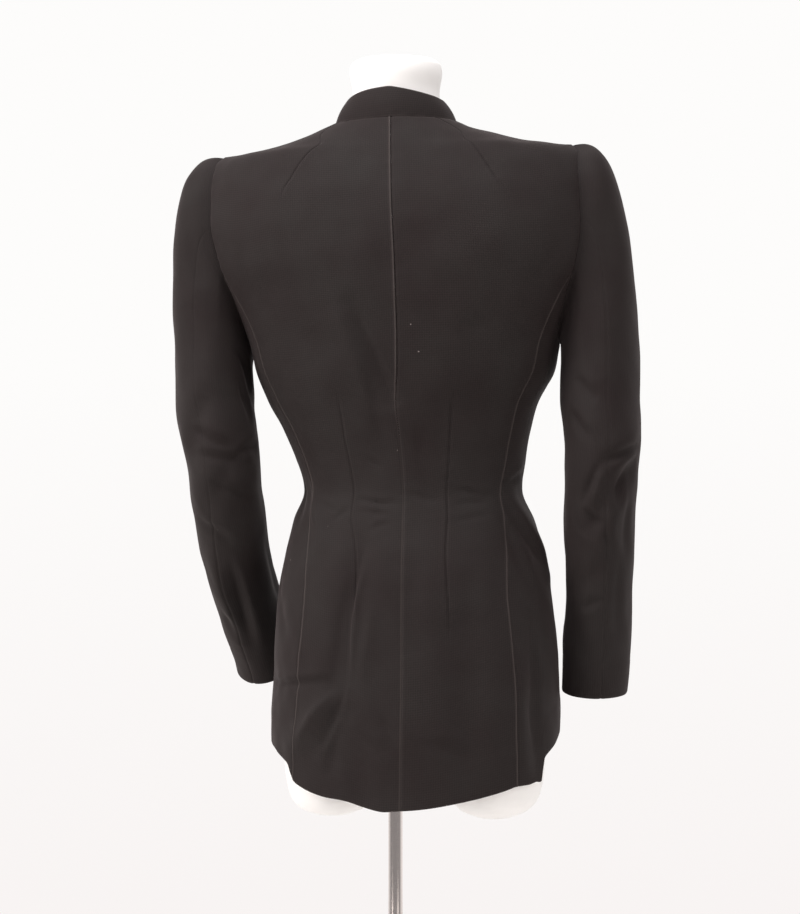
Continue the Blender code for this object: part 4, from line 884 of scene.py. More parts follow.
def makeCollar(material):
    seams, frees, outs = [], [], []
    neckAngle = float(angleAt(np.array([cut["neckSeam"]]), np.array([neckline["edge"][-1]]), front=True)[0])
    heights = np.linspace(collarCut["from"], cut["neckSeam"], 90)
    for side in (1, -1):
        edge = readCurve(neckline["height"], neckline["edge"], heights)
        band = readCurve(neckline["height"], neckline["band"], heights)
        seamAngle = side * angleAt(heights, edge, front=True)
        flatAngle = side * angleAt(heights, edge - band, front=True)
        seamBase, seamNormal = bodyPlace(seamAngle, heights), sectionNormal(bodyShape, seamAngle, heights)
        flatBase, flatNormal = bodyPlace(flatAngle, heights), sectionNormal(bodyShape, flatAngle, heights)
        lap = lapRise if side < 0 else (lambda base, height: 0.0)
        seam = seamBase + seamNormal * (bodyRise(seamBase, seamNormal) + lap(seamBase, heights) - 0.5 * mm)[..., None]
        lie = flatBase + flatNormal * (
            bodyRise(flatBase, flatNormal) + lap(flatBase, heights) + collarCut["lie"])[..., None]
        stand = ease(collarCut["standsFrom"], cut["neckSeam"], heights)[..., None] ** 1.5
        share = ease(collarCut["turnsFrom"], cut["neckSeam"], heights)
        topAngle = side * (90 + collarCut["neckTurn"] + (collarCut["turn"] - collarCut["neckTurn"]) * (1 - share))
        free = lie + (bandTop(topAngle) - lie) * stand
        order = slice(None) if side > 0 else slice(None, None, -1)
        seams.append(seam[order])
        frees.append(free[order])
        outs.append(seamNormal[order])
        if side > 0:
            angles = np.linspace(neckAngle, -neckAngle, 150)[1:-1]
            level = np.full(angles.shape, cut["neckSeam"])
            base, normal = bodyPlace(angles, level), sectionNormal(bodyShape, angles, level)
            seams.append(base + normal * (bodyRise(base, normal) - 0.5 * mm)[..., None])
            excess = neckAngle - 90 - collarCut["neckTurn"]
            turned = angles - np.sign(angles) * (np.abs(angles) / neckAngle) ** 3 * excess
            frees.append(bandTop(turned))
            outs.append(normal)
    seam, free, out = (np.concatenate(x) for x in (seams, frees, outs))
    for _ in range(3):
        free[1:-1] = 0.25 * free[:-2] + 0.5 * free[1:-1] + 0.25 * free[2:]
    t = cellPlaces(0.034, collarCut["rows"]) / 0.034
    t = t[:, None, None]
    points = seam + (free - seam) * t
    outward = unit(np.broadcast_to(out, points.shape) + 0.0)
    normals = gridNormals(points, outward)
    rise = collarCut["bulge"] * np.sin(math.pi * t[..., 0]) + 0.4 * unevenness(points)
    width = np.linalg.norm(free - seam, axis=-1)[None]
    fromSeam, fromFree = t[..., 0] * width, (1 - t[..., 0]) * width
    rise = rise - sewing["edgeRound"] * np.exp(-((fromFree / sewing["edgeWidth"]) ** 2))
    rise = rise + seamPucker(points) * 0.7 * np.exp(-((fromSeam / sewing["puckerReach"]) ** 2))
    points = points + normals * rise[..., None]
    wearAndRidgeHighlight = 0.3 * np.exp(-((fromFree / sewing["edgeWear"]) ** 2))
    wearAndRidgeHighlight = wearAndRidgeHighlight + 0.12 * np.exp(-((fromSeam / sewing["edgeWear"]) ** 2))
    clothPiece("cloth_collar", points, outward, material, "collar", wearAndRidgeHighlight, thick=collarCut["thick"])


# sleeves: one smooth tube for each arm, cut at its hind-arm and fore-arm seams
def sleeveLevels(side):
    head = np.linspace(0, 1, 101)[1:] ** 1.8
    steps = np.concatenate([[0, 1e-6, 8e-6, 3e-5], head])
    top = armLine["height"][-1]
    bottom = armLine["height"][0] + (0.020 if side > 0 else 0.0)  # the left cuff sits higher
    near = bottom + clothGrid["nearEdge"][::-1]
    down = np.linspace(top, near[0], 126)[1:]
    return np.concatenate([top + capSpan * (1 - steps), down, near[1:], [bottom]])


def makeSleeve(sideName, side, material):
    step = sewing["sleeveStep"]
    topSteps, underSteps = loopCount - foreArm + hindArm, foreArm - hindArm
    top = cellPlaces(topSteps * step, 54) / step + foreArm
    under = cellPlaces(underSteps * step, 50) / step + foreArm + topSteps
    q = np.concatenate([top, under[1:]])[None]
    level = sleeveLevels(side)[:, None]
    place, placeHeight = armholePlace(q[0])
    startBase = bodyPlace(side * place, placeHeight)
    startNormal = sectionNormal(bodyShape, side * place, placeHeight)
    startRise = bodyRise(startBase, startNormal)
    base = sleevePoint(side, q, level)
    out = np.clip((level - armLine["height"][-1]) / capSpan, 0, 1) ** 2
    base = base + startNormal * (startRise * out)[..., None]
    smooth = base.copy()
    for _ in range(40):
        smooth[1:-1] = 0.25 * smooth[:-2] + 0.5 * smooth[1:-1] + 0.25 * smooth[2:]
    weight = np.exp(-(((level - armLine["height"][-1]) / 0.035) ** 2))[..., None]
    base = base + (smooth - base) * weight
    ring = base[:, :-1]
    outward = ring - ring.mean(axis=1, keepdims=True)
    normals = gridNormals(ring, outward, wrap=True)
    normals = np.concatenate([normals, normals[:, :1]], axis=1)
    rise = unevenness(base) + creaseRise(
        base, normals, sleeveCreases[side], lambda a, h: sleevePoint(side, a, h), step)
    fromHead = runLength(base, 0)
    fade = 1 - np.exp(-((fromHead / (9 * mm)) ** 2))
    around = runLength(base, 1)
    seamAt = len(top) - 1
    toSeam = np.minimum(np.abs(around - around[:, seamAt:seamAt + 1]), np.minimum(around, around[:, -1:] - around))
    rise = rise * fade + seamSink(base, toSeam) * fade * (1 - 0.65 * ease(1.00, 1.08, base[..., 2]))
    fromCuff = fromHead[-1:] - fromHead
    rise = rise - sewing["edgeRound"] * np.exp(-((fromCuff / sewing["edgeWidth"]) ** 2))
    rise = rise + sewing["hemRise"] * (1 - ease(0.035, 0.040, fromCuff))
    atHead = seamSink(base, fromHead) * (1 - 0.45 * ease(1.36, 1.42, startBase[..., 2]))
    points = base + normals * rise[..., None] + startNormal * atHead[..., None]
    wearAndRidgeHighlight = 0.25 * np.exp(-((fromCuff / sewing["edgeWear"]) ** 2))
    wearAndRidgeHighlight = wearAndRidgeHighlight + 0.05 * np.exp(-((toSeam / sewing["edgeWear"]) ** 2)) * (1 - ease(0.95, 1.05, base[..., 2]))
    for piece, part in (("top", slice(0, seamAt + 1)), ("under", slice(seamAt, None))):
        name = f"{piece}_sleeve_{sideName}"
        inward = np.minimum(fromHead, toSeam)[:, part]
        thick = sewing["shell"] + 0.5 * sewing["allowance"] * np.exp(-((inward / sewing["sinkWidth"]) ** 2))
        clothPiece(f"cloth_{name}", points[:, part], normals[:, part], material, name, wearAndRidgeHighlight[:, part], thick)


# limbless dress form, from the thighs up to the neck block
formShape = columns("height halfWidth back front sway square", [
    [0.800, 0.143, 0.086, -0.104, 0.0200, 2.20],
    [0.840, 0.144, 0.092, -0.106, 0.0205, 2.20],
    [0.900, 0.1415, 0.092, -0.104, 0.0205, 2.15],
    [0.955, 0.1350, 0.086, -0.100, 0.0200, 2.10],
    [1.005, 0.1210, 0.073, -0.095, 0.0190, 2.05],
    [1.054, 0.1120, 0.059, -0.093, 0.0175, 2.05],
    [1.100, 0.1180, 0.064, -0.098, 0.0135, 2.10],
    [1.153, 0.1340, 0.073, -0.110, 0.0075, 2.15],
    [1.215, 0.1500, 0.083, -0.119, 0.0075, 2.20],
    [1.264, 0.1580, 0.088, -0.114, 0.0065, 2.25],
    [1.320, 0.1680, 0.087, -0.101, 0.0045, 2.30],
    [1.370, 0.1770, 0.081, -0.084, 0.0020, 2.30],
    [1.405, 0.1760, 0.071, -0.070, 0.0015, 2.20],
    [1.4195, 0.1640, 0.064, -0.062, 0.0015, 2.15],
    [1.4262, 0.1400, 0.0615, -0.0590, 0.0015, 2.10],
    [1.4332, 0.1220, 0.0605, -0.0565, 0.0015, 2.10],
    [1.4388, 0.1030, 0.0575, -0.0535, 0.0015, 2.10],
    [1.4443, 0.0920, 0.0555, -0.0515, 0.0015, 2.05],
    [1.4493, 0.0785, 0.0520, -0.0485, 0.0010, 2.05],
    [1.4560, 0.0620, 0.0470, -0.0480, 0.0010, 2.00],
    [1.4680, 0.0510, 0.0420, -0.0470, 0.0006, 2.00],
    [1.4900, 0.0480, 0.0400, -0.0470, 0.0000, 2.00],
    [1.5120, 0.0510, 0.0430, -0.0500, 0.0000, 2.00],
    [1.5200, 0.0500, 0.0420, -0.0490, 0.0000, 2.00],
    [1.5260, 0.0430, 0.0350, -0.0420, 0.0000, 2.00],
    [1.5290, 0.0270, 0.0200, -0.0270, 0.0000, 2.00],
])
stumpShape = columns("height halfWidth halfDepth merge", [
    [0.699, 0.024, 0.040, 1.0], [0.706, 0.039, 0.062, 1.0], [0.720, 0.049, 0.076, 1.0], [0.740, 0.053, 0.082, 1.0],
    [0.765, 0.055, 0.086, 0.85], [0.785, 0.058, 0.090, 0.45], [0.800, 0.060, 0.092, 0.0],
])
formCut = {
    "columns": 128, "fork": 0.800, "stumpSpread": 0.089, "stumpLow": 0.699, "end": 0.6965, "lineCells": 30,
    "neckEnd": 1.5297,
}


def makeForm(material):
    count = formCut["columns"]
    angles = np.arange(count) * 360 / count
    heights = np.concatenate([
        np.linspace(formCut["fork"], 1.405, 90), np.linspace(1.405, 1.468, 40)[1:], np.linspace(1.468, 1.512, 14)[1:],
        1.512 + 0.017 * np.sin(np.linspace(0, math.pi / 2, 12)[1:]),
    ])
    rings = sectionPoint(formShape, angles[None], heights[:, None])
    vertices = [tuple(p) for p in rings.reshape(-1, 3)]
    faces = []
    for i in range(len(heights) - 1):
        for j in range(count):
            k = (j + 1) % count
            faces.append([i * count + j, i * count + k, (i + 1) * count + k, (i + 1) * count + j])
    last = (len(heights) - 1) * count
    vertices.append((0.0, -0.0035, formCut["neckEnd"]))
    for j in range(count):
        faces.append([last + j, last + (j + 1) % count, len(vertices) - 1])
    half = count // 2
    line = np.linspace(rings[0, half], rings[0, 0], formCut["lineCells"] + 1)[1:-1]
    lineStart = len(vertices)
    vertices += [tuple(p) for p in line]
    lineIndex = list(range(lineStart, lineStart + len(line)))
    low = formCut["stumpLow"]
    levels = np.linspace(formCut["fork"], low, 34)[1:]
    rounded = (1 - np.sin(np.linspace(0, math.pi / 2, 9)))[1:]
    levels = np.concatenate([levels[:-6], low + (levels[-7] - low) * rounded])
    middle = (rings[0, 0, 1] + rings[0, half, 1]) / 2
    for side, arc in ((1, list(range(half + 1))), (-1, [0] + list(range(count - 1, half - 1, -1)))):
        loop = arc + lineIndex
        start = np.array([vertices[v] for v in loop])
        centre = np.array([side * formCut["stumpSpread"] - formShape["sway"][0], middle])
        before = loop
        for level in levels:
            wide, deep, merge = (readCurve(stumpShape["height"], stumpShape[k], level)
                                 for k in ("halfWidth", "halfDepth", "merge"))
            offset = start[:, :2] - centre
            turn = np.arctan2(offset[:, 1] / deep, offset[:, 0] / wide)
            target = centre + np.stack([wide * np.cos(turn), deep * np.sin(turn)], axis=-1)
            at = start[:, :2] + (target - start[:, :2]) * merge
            row = list(range(len(vertices), len(vertices) + len(loop)))
            vertices += [(x, y, float(level)) for x, y in at]
            for j in range(len(loop)):
                k = (j + 1) % len(loop)
                faces.append([before[j], before[k], row[k], row[j]])
            before = row
        vertices.append((centre[0], centre[1], formCut["end"]))
        for j in range(len(loop)):
            faces.append([before[j], before[(j + 1) % len(loop)], len(vertices) - 1])
    piece = meshObject("form_skin", np.array(vertices), faces, material, sharp=60)
    build = bmesh.new()
    build.from_mesh(piece.data)
    bmesh.ops.recalc_face_normals(build, faces=build.faces)
    build.to_mesh(piece.data)
    build.free()
    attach(piece, "root")
    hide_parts("dress_form")
    print("dress form done")


# buttons with their thread, and the buttonholes
buttonCut = {
    "heights": [1.198, 1.118, 1.038], "radius": 10.5 * mm, "thick": 3.4 * mm, "hole": 1.0 * mm, "holeSpread": 1.9 * mm,
    "thread": 0.45 * mm, "holeLength": 23 * mm, "stitch": 0.8 * mm,
}
# turned profile: shares of the radius and of the thickness, from the back to the middle of the face
buttonProfile = [
    (0.0, 0.0), (0.70, 0.0), (0.84, 0.06), (0.95, 0.22), (0.99, 0.42), (1.0, 0.60), (0.985, 0.78), (0.94, 0.92),
    (0.88, 0.99), (0.82, 1.0), (0.76, 0.96), (0.69, 0.84), (0.62, 0.75), (0.50, 0.71), (0.25, 0.68), (0.0, 0.67),
]


def buttonPlace(height):
    angle, level = np.array(-180.0), np.array(height)
    base, normal = bodyPlace(angle, level), sectionNormal(bodyShape, angle, level)
    rise = bodyRise(base[None], normal[None])[0] + lapRise(base, level)
    return base + normal * rise, normal


def tube(vertices, faces, path, radius, sides=8):
    first = len(vertices)
    for i, point in enumerate(path):
        run = unit(path[min(i + 1, len(path) - 1)] - path[max(i - 1, 0)])
        across = unit(np.cross(run, [0.31, 0.2, 0.93]))
        other = np.cross(run, across)
        for j in range(sides):
            turn = 2 * math.pi * j / sides
            vertices.append(point + radius * (across * math.cos(turn) + other * math.sin(turn)))
    for i in range(len(path) - 1):
        for j in range(sides):
            k = (j + 1) % sides
            a, b = first + i * sides, first + (i + 1) * sides
            faces.append([a + j, a + k, b + k, b + j])
    faces.append([first + j for j in range(sides)][::-1])
    faces.append([first + (len(path) - 1) * sides + j for j in range(sides)])


def makeButton(number, height, resin, thread):
    low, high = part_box(f"button_{number}")
    seat, normal = buttonPlace(height)
    sideways = unit(np.cross([0, 0, 1.0], normal))
    upward = np.cross(normal, sideways)
    middle = (np.array(low) + np.array(high)) / 2
    seat = seat + normal * ((middle - seat) @ normal - buttonCut["thick"] / 2)
    build = bmesh.new()
    sides = 72
    rings = []
    for radius, level in buttonProfile:
        turns = 2 * math.pi * np.arange(sides if radius else 1) / sides
        ring = []
        for turn in turns:
            out = sideways * math.cos(turn) + upward * math.sin(turn)
            point = seat + out * radius * buttonCut["radius"] + normal * level * buttonCut["thick"]
            ring.append(build.verts.new(point))
        rings.append(ring)
    for a, b in zip(rings, rings[1:]):
        for j in range(sides):
            k = (j + 1) % sides
            corners = []
            for vertex in (a[j % len(a)], a[k % len(a)], b[k % len(b)], b[j % len(b)]):
                if vertex not in corners:
                    corners.append(vertex)
            build.faces.new(corners)
    bmesh.ops.recalc_face_normals(build, faces=build.faces)
    mesh = bpy.data.meshes.new(f"turned_button_{number}")
    build.to_mesh(mesh)
    build.free()
    mesh.materials.append(resin)
    button = bpy.data.objects.new(f"turned_button_{number}", mesh)
    bpy.context.scene.collection.objects.link(button)
    corners = [(-1, -1), (1, -1), (1, 1), (-1, 1)]
    spots = [seat + (sideways * x + upward * y) * buttonCut["holeSpread"] / 1.4 for x, y in corners]
    vertices, faces = [], []
    for spot in spots:
        tube(vertices, faces, [spot - normal * 1 * mm, spot + normal * 5 * mm], buttonCut["hole"], sides=20)
    drill = meshObject(f"drill_{number}", np.array(vertices), faces, resin)
    cutter = button.modifiers.new("holes", "BOOLEAN")
    cutter.operation, cutter.solver, cutter.object = "DIFFERENCE", "EXACT", drill
    graph = bpy.context.evaluated_depsgraph_get()
    drilled = bpy.data.meshes.new_from_object(button.evaluated_get(graph))
    button.modifiers.clear()
    button.data = drilled
    bpy.data.objects.remove(drill, do_unlink=True)
    drilled.shade_smooth()
    drilled.set_sharp_from_angle(angle=math.radians(40))
    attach(button, "root")
    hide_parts(f"button_{number}")
    vertices, faces = [], []
    face = 0.68 * buttonCut["thick"]
    for a, b in ((0, 3), (1, 2)):
        for shift in (-0.35, 0.35):
            t = np.linspace(0, 1, 9)[:, None]
            path = spots[a] + (spots[b] - spots[a]) * t + sideways * shift * mm
            path = path + normal * (face - 1.2 * mm + 1.9 * mm * np.sin(math.pi * t) ** 0.5)
            tube(vertices, faces, list(path), buttonCut["thread"])
    stitch = meshObject(f"button_thread_{number}", np.array(vertices), faces, thread)
    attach(stitch, "root")


# a row of close buttonhole stitches on both sides of the slit, from under the button outwards
def makeButtonhole(number, height, thread):
    vertices, faces = [], []
    count = int(buttonCut["holeLength"] / (buttonCut["stitch"] * 1.05))
    for i in range(count):
        across = -0.003 + buttonCut["holeLength"] * i / (count - 1)
        ends = i in (0, count - 1)
        for hand in (-1, 1):
            level = np.array([height + hand * z * mm for z in (0.15, 0.5, 0.9, 1.3, 1.7)])
            angle = -angleAt(level, np.full(5, across), front=True)
            base, normal = bodyPlace(angle, level), sectionNormal(bodyShape, angle, level)
            lift = np.array([-0.1, 0.35, 0.45, 0.35, -0.1]) * mm
            rise = bodyRise(base, normal) + lapRise(base, level) + lift + (0.15 * mm if ends else 0.0)
            tube(vertices, faces, list(base + normal * rise[:, None]), buttonCut["stitch"] / 2, sides=6)
    piece = meshObject(f"buttonhole_{number}", np.array(vertices), faces, thread)
    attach(piece, "root")


# sRGB hex to linear
def hexColour(text):
    parts = [int(text[i:i + 2], 16) / 255 for i in (0, 2, 4)]
    return tuple(p / 12.92 if p <= 0.04045 else ((p + 0.055) / 1.055) ** 2.4 for p in parts) + (1.0,)


def newMaterial(name, settings):
    material = bpy.data.materials.new(name)
    material.use_nodes = True
    shader = material.node_tree.nodes["Principled BSDF"]
    for socket, value in settings.items():
        shader.inputs[socket].default_value = value
    return material, shader, addNode(material, "ShaderNodeTexCoord").outputs["Object"]


# adds a node with its settings and its links
def addNode(material, kind, settings=None, inputs=None, links=None):
    node = material.node_tree.nodes.new(kind)
    for name, value in (settings or {}).items():
        setattr(node, name, value)
    for socket, value in (inputs or {}).items():
        node.inputs[socket].default_value = value
    for socket, source in (links or {}).items():
        material.node_tree.links.new(source, node.inputs[socket])
    return node


def addRamp(material, source, stops):
    ramp = addNode(material, "ShaderNodeValToRGB", links={"Fac": source})
    elements = ramp.color_ramp.elements
    while len(elements) < len(stops):
        elements.new(0.5)
    for element, (place, colour) in zip(elements, stops):
        element.position = place
        element.color = hexColour(colour)
    return ramp.outputs["Color"]


# colour between stops, roughness between two limits, and relief, each led by a texture
def finishSurface(material, shader, colour, rough=None, relief=None):
    links = material.node_tree.links
    links.new(addRamp(material, colour[0], colour[1:]), shader.inputs["Base Color"])
    if rough:
        spread = addNode(material, "ShaderNodeMapRange", inputs={"To Min": rough[1], "To Max": rough[2]},
                         links={"Value": rough[0]})
        links.new(spread.outputs["Result"], shader.inputs["Roughness"])
    if relief:
        bump = addNode(material, "ShaderNodeBump", inputs={"Strength": relief[1], "Distance": relief[2]},
                       links={"Height": relief[0]})
        links.new(bump.outputs["Normal"], shader.inputs["Normal"])


woolLook = {
    "dark": "1f1414",
    "light": "282322",
    # lighter colour: wear at free edges, and a painted highlight along the seam ridges
    "wornAndRidgeHighlight": "4f4745",
    "between": "c2c2c2",  # painted shade: how much darker the gaps between threads are drawn than their tops
    "roughness": 0.78,
    "sheen": 0.22,
    "sheenRoughness": 0.42,
    "sheenTint": "908282",
    "thread": 2.5 * mm,  # the real threads are 0.4 mm; drawn this coarse so that the weave shows
    "nap": 0.9 * mm,
    "speck": "7d7472",
    "speckCell": 46 * mm,
    "speckSize": 0.016,  # share of the cell
}


# worsted wool suiting, plain-woven and pressed: a soft black with a warm bloom, a fine weave with painted shade in the
# gaps between threads, stray lint, and a lighter colour for worn edges with a painted highlight along the seam ridges
def makeWool():
    look = woolLook
    wool, shader, place = newMaterial("worsted wool suiting, black", {
        "Roughness": look["roughness"], "Specular IOR Level": 0.28, "Sheen Weight": look["sheen"],
        "Sheen Roughness": look["sheenRoughness"], "Sheen Tint": hexColour(look["sheenTint"]), "IOR": 1.5,
    })
    cutPlace = addNode(wool, "ShaderNodeUVMap", {"uv_map": "cut"}).outputs["UV"]
    band = 2 * math.pi / 20  # a wave texture's own length
    warp, weft = (addNode(
        wool, "ShaderNodeTexWave", {"wave_type": "BANDS", "bands_direction": way},
        {"Scale": band / look["thread"], "Distortion": wander, "Detail": 1.0, "Detail Scale": 3.0},
        {"Vector": cutPlace}).outputs["Fac"] for way, wander in (("X", 0.6), ("Y", 0.8)))
    weave = addNode(wool, "ShaderNodeMix", {"data_type": "FLOAT"}, {"Factor": 0.5}, {2: warp, 3: weft}).outputs[0]
    nap, cloud = (addNode(
        wool, "ShaderNodeTexNoise", inputs={"Scale": scale, "Detail": detail, "Roughness": rough},
        links={"Vector": place}).outputs["Fac"] for scale, detail, rough in (
            (1 / (look["nap"] * 2), 4.0, 0.6), (11.0, 5.0, 0.55)))
    mixed = addNode(wool, "ShaderNodeMix", {"data_type": "FLOAT"}, {"Factor": 0.35}, {2: cloud, 3: nap})
    colour = addRamp(wool, mixed.outputs[0], [(0.33, look["dark"]), (0.68, look["light"])])
    # the gaps of the weave darkened as painted shade between the threads
    shade = addRamp(wool, weave, [(0.25, look["between"]), (0.75, "ffffff")])
    colour = addNode(wool, "ShaderNodeMix", {"data_type": "RGBA", "blend_type": "MULTIPLY"}, {0: 0.8},
                     {6: colour, 7: shade}).outputs[2]
    specks = addNode(wool, "ShaderNodeTexVoronoi", {"feature": "F1"},
                     {"Scale": 1 / look["speckCell"], "Randomness": 1.0}, {"Vector": place})
    speck = addNode(wool, "ShaderNodeMath", {"operation": "LESS_THAN"}, {1: look["speckSize"]},
                    {0: specks.outputs["Distance"]})
    # lighter colour from the vertex layer: wear at free edges, a painted highlight along the seam ridges
    ridgeHighlightAndWearLayer = addNode(wool, "ShaderNodeAttribute", {"attribute_name": "wearAndRidgeHighlight"})
    for over, share in ((look["speck"], speck.outputs[0]), (look["wornAndRidgeHighlight"], ridgeHighlightAndWearLayer.outputs["Fac"])):
        colour = addNode(wool, "ShaderNodeMix", {"data_type": "RGBA"}, {7: hexColour(over)},
                         {0: share, 6: colour}).outputs[2]
    links = wool.node_tree.links
    links.new(colour, shader.inputs["Base Color"])
    rough = addNode(wool, "ShaderNodeMapRange", inputs={
        "To Min": look["roughness"] - 0.06, "To Max": look["roughness"] + 0.08}, links={"Value": nap})
    links.new(rough.outputs["Result"], shader.inputs["Roughness"])
    fuzz = addNode(wool, "ShaderNodeBump", inputs={"Strength": 0.35, "Distance": 0.25 * mm}, links={"Height": nap})
    bump = addNode(wool, "ShaderNodeBump", inputs={"Strength": 0.45, "Distance": 0.2 * mm},
                   links={"Height": weave, "Normal": fuzz.outputs["Normal"]})
    links.new(bump.outputs["Normal"], shader.inputs["Normal"])
    return wool


# buttonhole twist: waxed polyester thread, a slight shine along its twist
def makeThread():
    thread, shader, place = newMaterial("polyester twist thread, black", {"Roughness": 0.45, "Sheen Weight": 0.2})
    twist = addNode(thread, "ShaderNodeTexWave", {"wave_type": "BANDS", "bands_direction": "DIAGONAL"},
                    {"Scale": 0.314 / (0.5 * mm), "Distortion": 1.0}, {"Vector": place}).outputs["Fac"]
    finishSurface(thread, shader, (twist, (0.2, "171415"), (0.9, "2b2727")), relief=(twist, 0.4, 0.1 * mm))
    return thread


# cast polyester resin, tumbled: near black with faint brown streaks and a soft gloss
def makeResin():
    resin, shader, place = newMaterial("cast polyester resin, tumbled", {"IOR": 1.55, "Coat Weight": 0.15})
    stretched = addNode(resin, "ShaderNodeMapping", inputs={"Scale": (1.0, 1.0, 3.0)}, links={"Vector": place})
    streak = addNode(resin, "ShaderNodeTexNoise", inputs={"Scale": 120.0, "Detail": 5.0, "Distortion": 1.2},
                     links={"Vector": stretched.outputs["Vector"]}).outputs["Fac"]
    finishSurface(resin, shader, (streak, (0.35, "1a1717"), (0.75, "332a26")), (streak, 0.22, 0.38))
    return resin


# glass-fibre form, filled, sanded and sprayed: a satin off-white with a faint orange peel
def makeFormSkin():
    skin, shader, place = newMaterial("sprayed glass-fibre shell, satin", {"IOR": 1.48, "Specular IOR Level": 0.35})
    cloud, peel = (addNode(
        skin, "ShaderNodeTexNoise", inputs={"Scale": scale, "Detail": detail}, links={"Vector": place}).outputs["Fac"]
        for scale, detail in ((6.0, 4.0), (1 / (3 * mm), 2.0)))
    finishSurface(skin, shader, (cloud, (0.3, "f9f7f6"), (0.7, "fdfcfb")), (cloud, 0.42, 0.55), (peel, 0.08, 0.2 * mm))
    return skin


# chromed steel tube, polished: bright, with hair-fine handling marks round it
def makeChrome():
    chrome, shader, place = newMaterial("chromed steel tube, polished", {"Metallic": 1.0})
    stretched = addNode(chrome, "ShaderNodeMapping", inputs={"Scale": (1.0, 1.0, 12.0)}, links={"Vector": place})
    marks = addNode(chrome, "ShaderNodeTexNoise", inputs={"Scale": 140.0, "Detail": 5.0},
                    links={"Vector": stretched.outputs["Vector"]}).outputs["Fac"]
    finishSurface(chrome, shader, (marks, (0.3, "efe4e0"), (0.7, "f8f0ec")), (marks, 0.06, 0.14))
    return chrome


# nickel-plated steel plate, turned on a lathe: fine rings round its middle
def makePlate():
    plate, shader, place = newMaterial("nickel-plated steel, lathe-brushed", {"Metallic": 1.0})
    rings = addNode(plate, "ShaderNodeTexWave", {"wave_type": "RINGS", "rings_direction": "Z"},
                    {"Scale": 0.314 / (1.6 * mm), "Distortion": 0.5, "Detail": 3.0}, {"Vector": place}).outputs["Fac"]
    cloud = addNode(plate, "ShaderNodeTexNoise", inputs={"Scale": 14.0, "Detail": 4.0},
                    links={"Vector": place}).outputs["Fac"]
    finishSurface(plate, shader, (cloud, (0.3, "b4adaa"), (0.7, "c9c3bf")), (rings, 0.20, 0.34),
                  (rings, 0.10, 0.05 * mm))
    return plate


# painted studio floor: matt, nearly white, with slight roller mottle
def makeFloorPaint():
    paint, shader, place = newMaterial("matt floor paint, pale", {"Roughness": 0.9, "Specular IOR Level": 0.2})
    mottle = addNode(paint, "ShaderNodeTexNoise", inputs={"Scale": 30.0, "Detail": 5.0}, links={"Vector": place})
    finishSurface(paint, shader, (mottle.outputs["Fac"], (0.3, "efedea"), (0.7, "f4f2f0")))
    return paint


wool, thread, resin = makeWool(), makeThread(), makeResin()
skin, chrome, plate, floorPaint = makeFormSkin(), makeChrome(), makePlate(), makeFloorPaint()
print("materials done")

for sideName, side in (("left", 1), ("right", -1)):
    makeBack(sideName, side, wool)
    makeSide(sideName, side, wool)
    makeFront(sideName, side, wool)
    makeSleeve(sideName, side, wool)
makeCollar(wool)
makeForm(skin)
for number, height in enumerate(buttonCut["heights"], 1):
    makeButton(number, height, resin, thread)
    makeButtonhole(number, height, thread)
print("buttons done")

for nodeName, material in (("pole", chrome), ("pole_socket", chrome), ("base_plate", plate)):
    node = bpy.data.objects[nodeName]
    if not node.material_slots:
        node.data.materials.append(material)
    for slot in node.material_slots:
        slot.material = material
print("stand finished")


# floor, light and camera
studio = {
    "floor": 4.4,
    "worldTop": "fdfcfb",
    "worldLow": "f8f4f3",
    "worldStrength": 1.0,
    "fillFront": "8b8989",
    "fillBehind": "f4f2f1",
    "lights": [  # place, aimed at, size across and up, power, colour
        {"name": "softbox_right", "at": (-2.6, 1.9, 1.8), "size": (1.2, 2.0), "power": 31, "colour": "fff7f2"},
        {"name": "softbox_left", "at": (2.7, 1.6, 2.1), "size": (1.2, 1.8), "power": 74, "colour": "fff9f5"},
        {"name": "softbox_top", "at": (0.3, 0.9, 3.3), "size": (1.8, 1.2), "power": 52, "colour": "ffffff"},
    ],
}
half = studio["floor"] / 2
floorMesh = bpy.data.meshes.new("studio_floor")
floorMesh.from_pydata([(-half, -half, 0), (half, -half, 0), (half, half, 0), (-half, half, 0)], [], [(0, 1, 2, 3)])
floorMesh.materials.append(floorPaint)
floor = bpy.data.objects.new("studio_floor", floorMesh)
bpy.context.scene.collection.objects.link(floor)

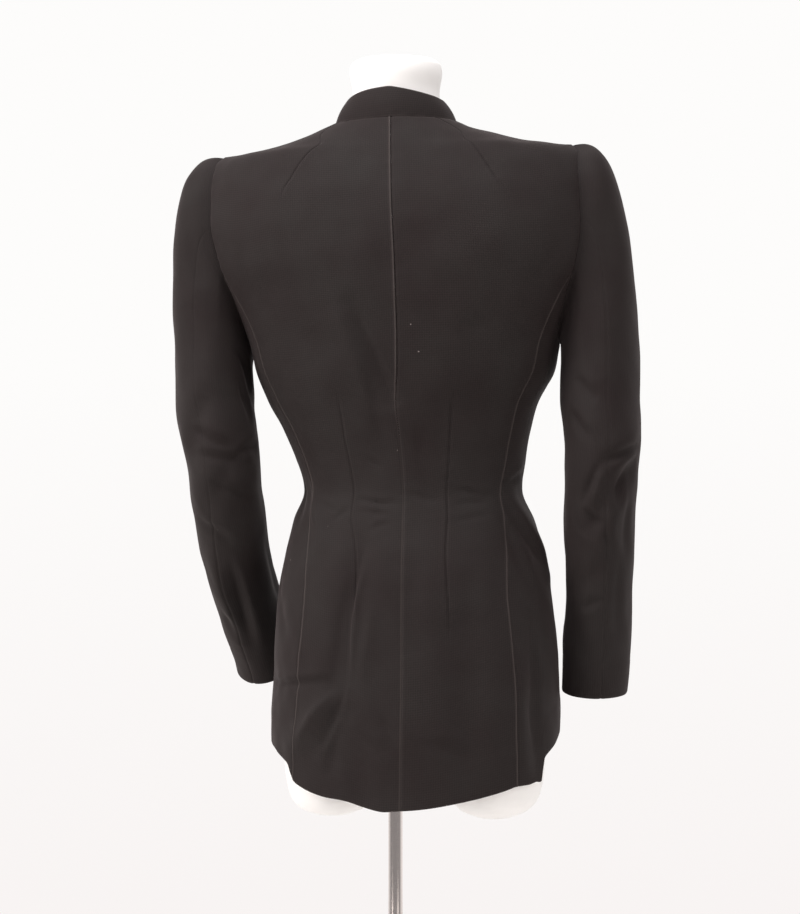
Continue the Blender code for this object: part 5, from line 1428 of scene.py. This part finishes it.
for setting in studio["lights"]:
    lamp = bpy.data.lights.new(setting["name"], "AREA")
    lamp.shape = "RECTANGLE"
    lamp.size, lamp.size_y = setting["size"]
    lamp.energy = setting["power"]
    lamp.color = hexColour(setting["colour"])[:3]
    light = bpy.data.objects.new(setting["name"], lamp)
    light.location = setting["at"]
    light.rotation_euler = (Vector((0, 0, 1.05)) - Vector(setting["at"])).to_track_quat("-Z", "Y").to_euler()
    bpy.context.scene.collection.objects.link(light)

world = bpy.data.worlds.new("white studio")
bpy.context.scene.world = world
world.use_nodes = True
background = world.node_tree.nodes["Background"]
background.inputs["Strength"].default_value = studio["worldStrength"]
direction = addNode(world, "ShaderNodeTexCoord").outputs["Generated"]
split = addNode(world, "ShaderNodeSeparateXYZ", links={"Vector": direction})
upward, aside = (addNode(
    world, "ShaderNodeMapRange", inputs={"From Min": low, "From Max": high}, links={"Value": split.outputs[axis]}
).outputs["Result"] for axis, low, high in (("Z", -0.2, 0.2), ("Y", -0.6, 0.3)))
sky = addRamp(world, upward, [(0.0, studio["worldLow"]), (0.6, studio["worldTop"])])
fill = addRamp(world, aside, [(0.0, studio["fillBehind"]), (1.0, studio["fillFront"])])
seen = addNode(world, "ShaderNodeLightPath").outputs["Is Camera Ray"]
paper = addNode(world, "ShaderNodeMix", {"data_type": "RGBA"}, links={0: seen, 6: fill, 7: sky})
world.node_tree.links.new(paper.outputs[2], background.inputs["Color"])
bpy.context.scene.view_settings.view_transform = "Standard"

# the photograph's view: from behind, turned 7.7 degrees, in an 800 x 914 frame
view = {"turn": 7.7, "distance": 2.4, "height": 1.09, "shift": 0.00495, "lens": 85.93}
turn = math.radians(view["turn"])
towards = Vector((math.sin(turn), -math.cos(turn), 0))
rightward = Vector((-math.cos(turn), -math.sin(turn), 0))
lensData = bpy.data.cameras.new("photo_camera")
lensData.sensor_fit = "AUTO"
lensData.sensor_width = 36
lensData.lens = view["lens"]
lensData.dof.use_dof = False
camera = bpy.data.objects.new("photo_camera", lensData)
camera.location = -towards * view["distance"] + rightward * view["shift"] + Vector((0, 0, view["height"]))
camera.rotation_euler = towards.to_track_quat("-Z", "Y").to_euler()
bpy.context.scene.collection.objects.link(camera)
bpy.context.scene.camera = camera
print("studio done")
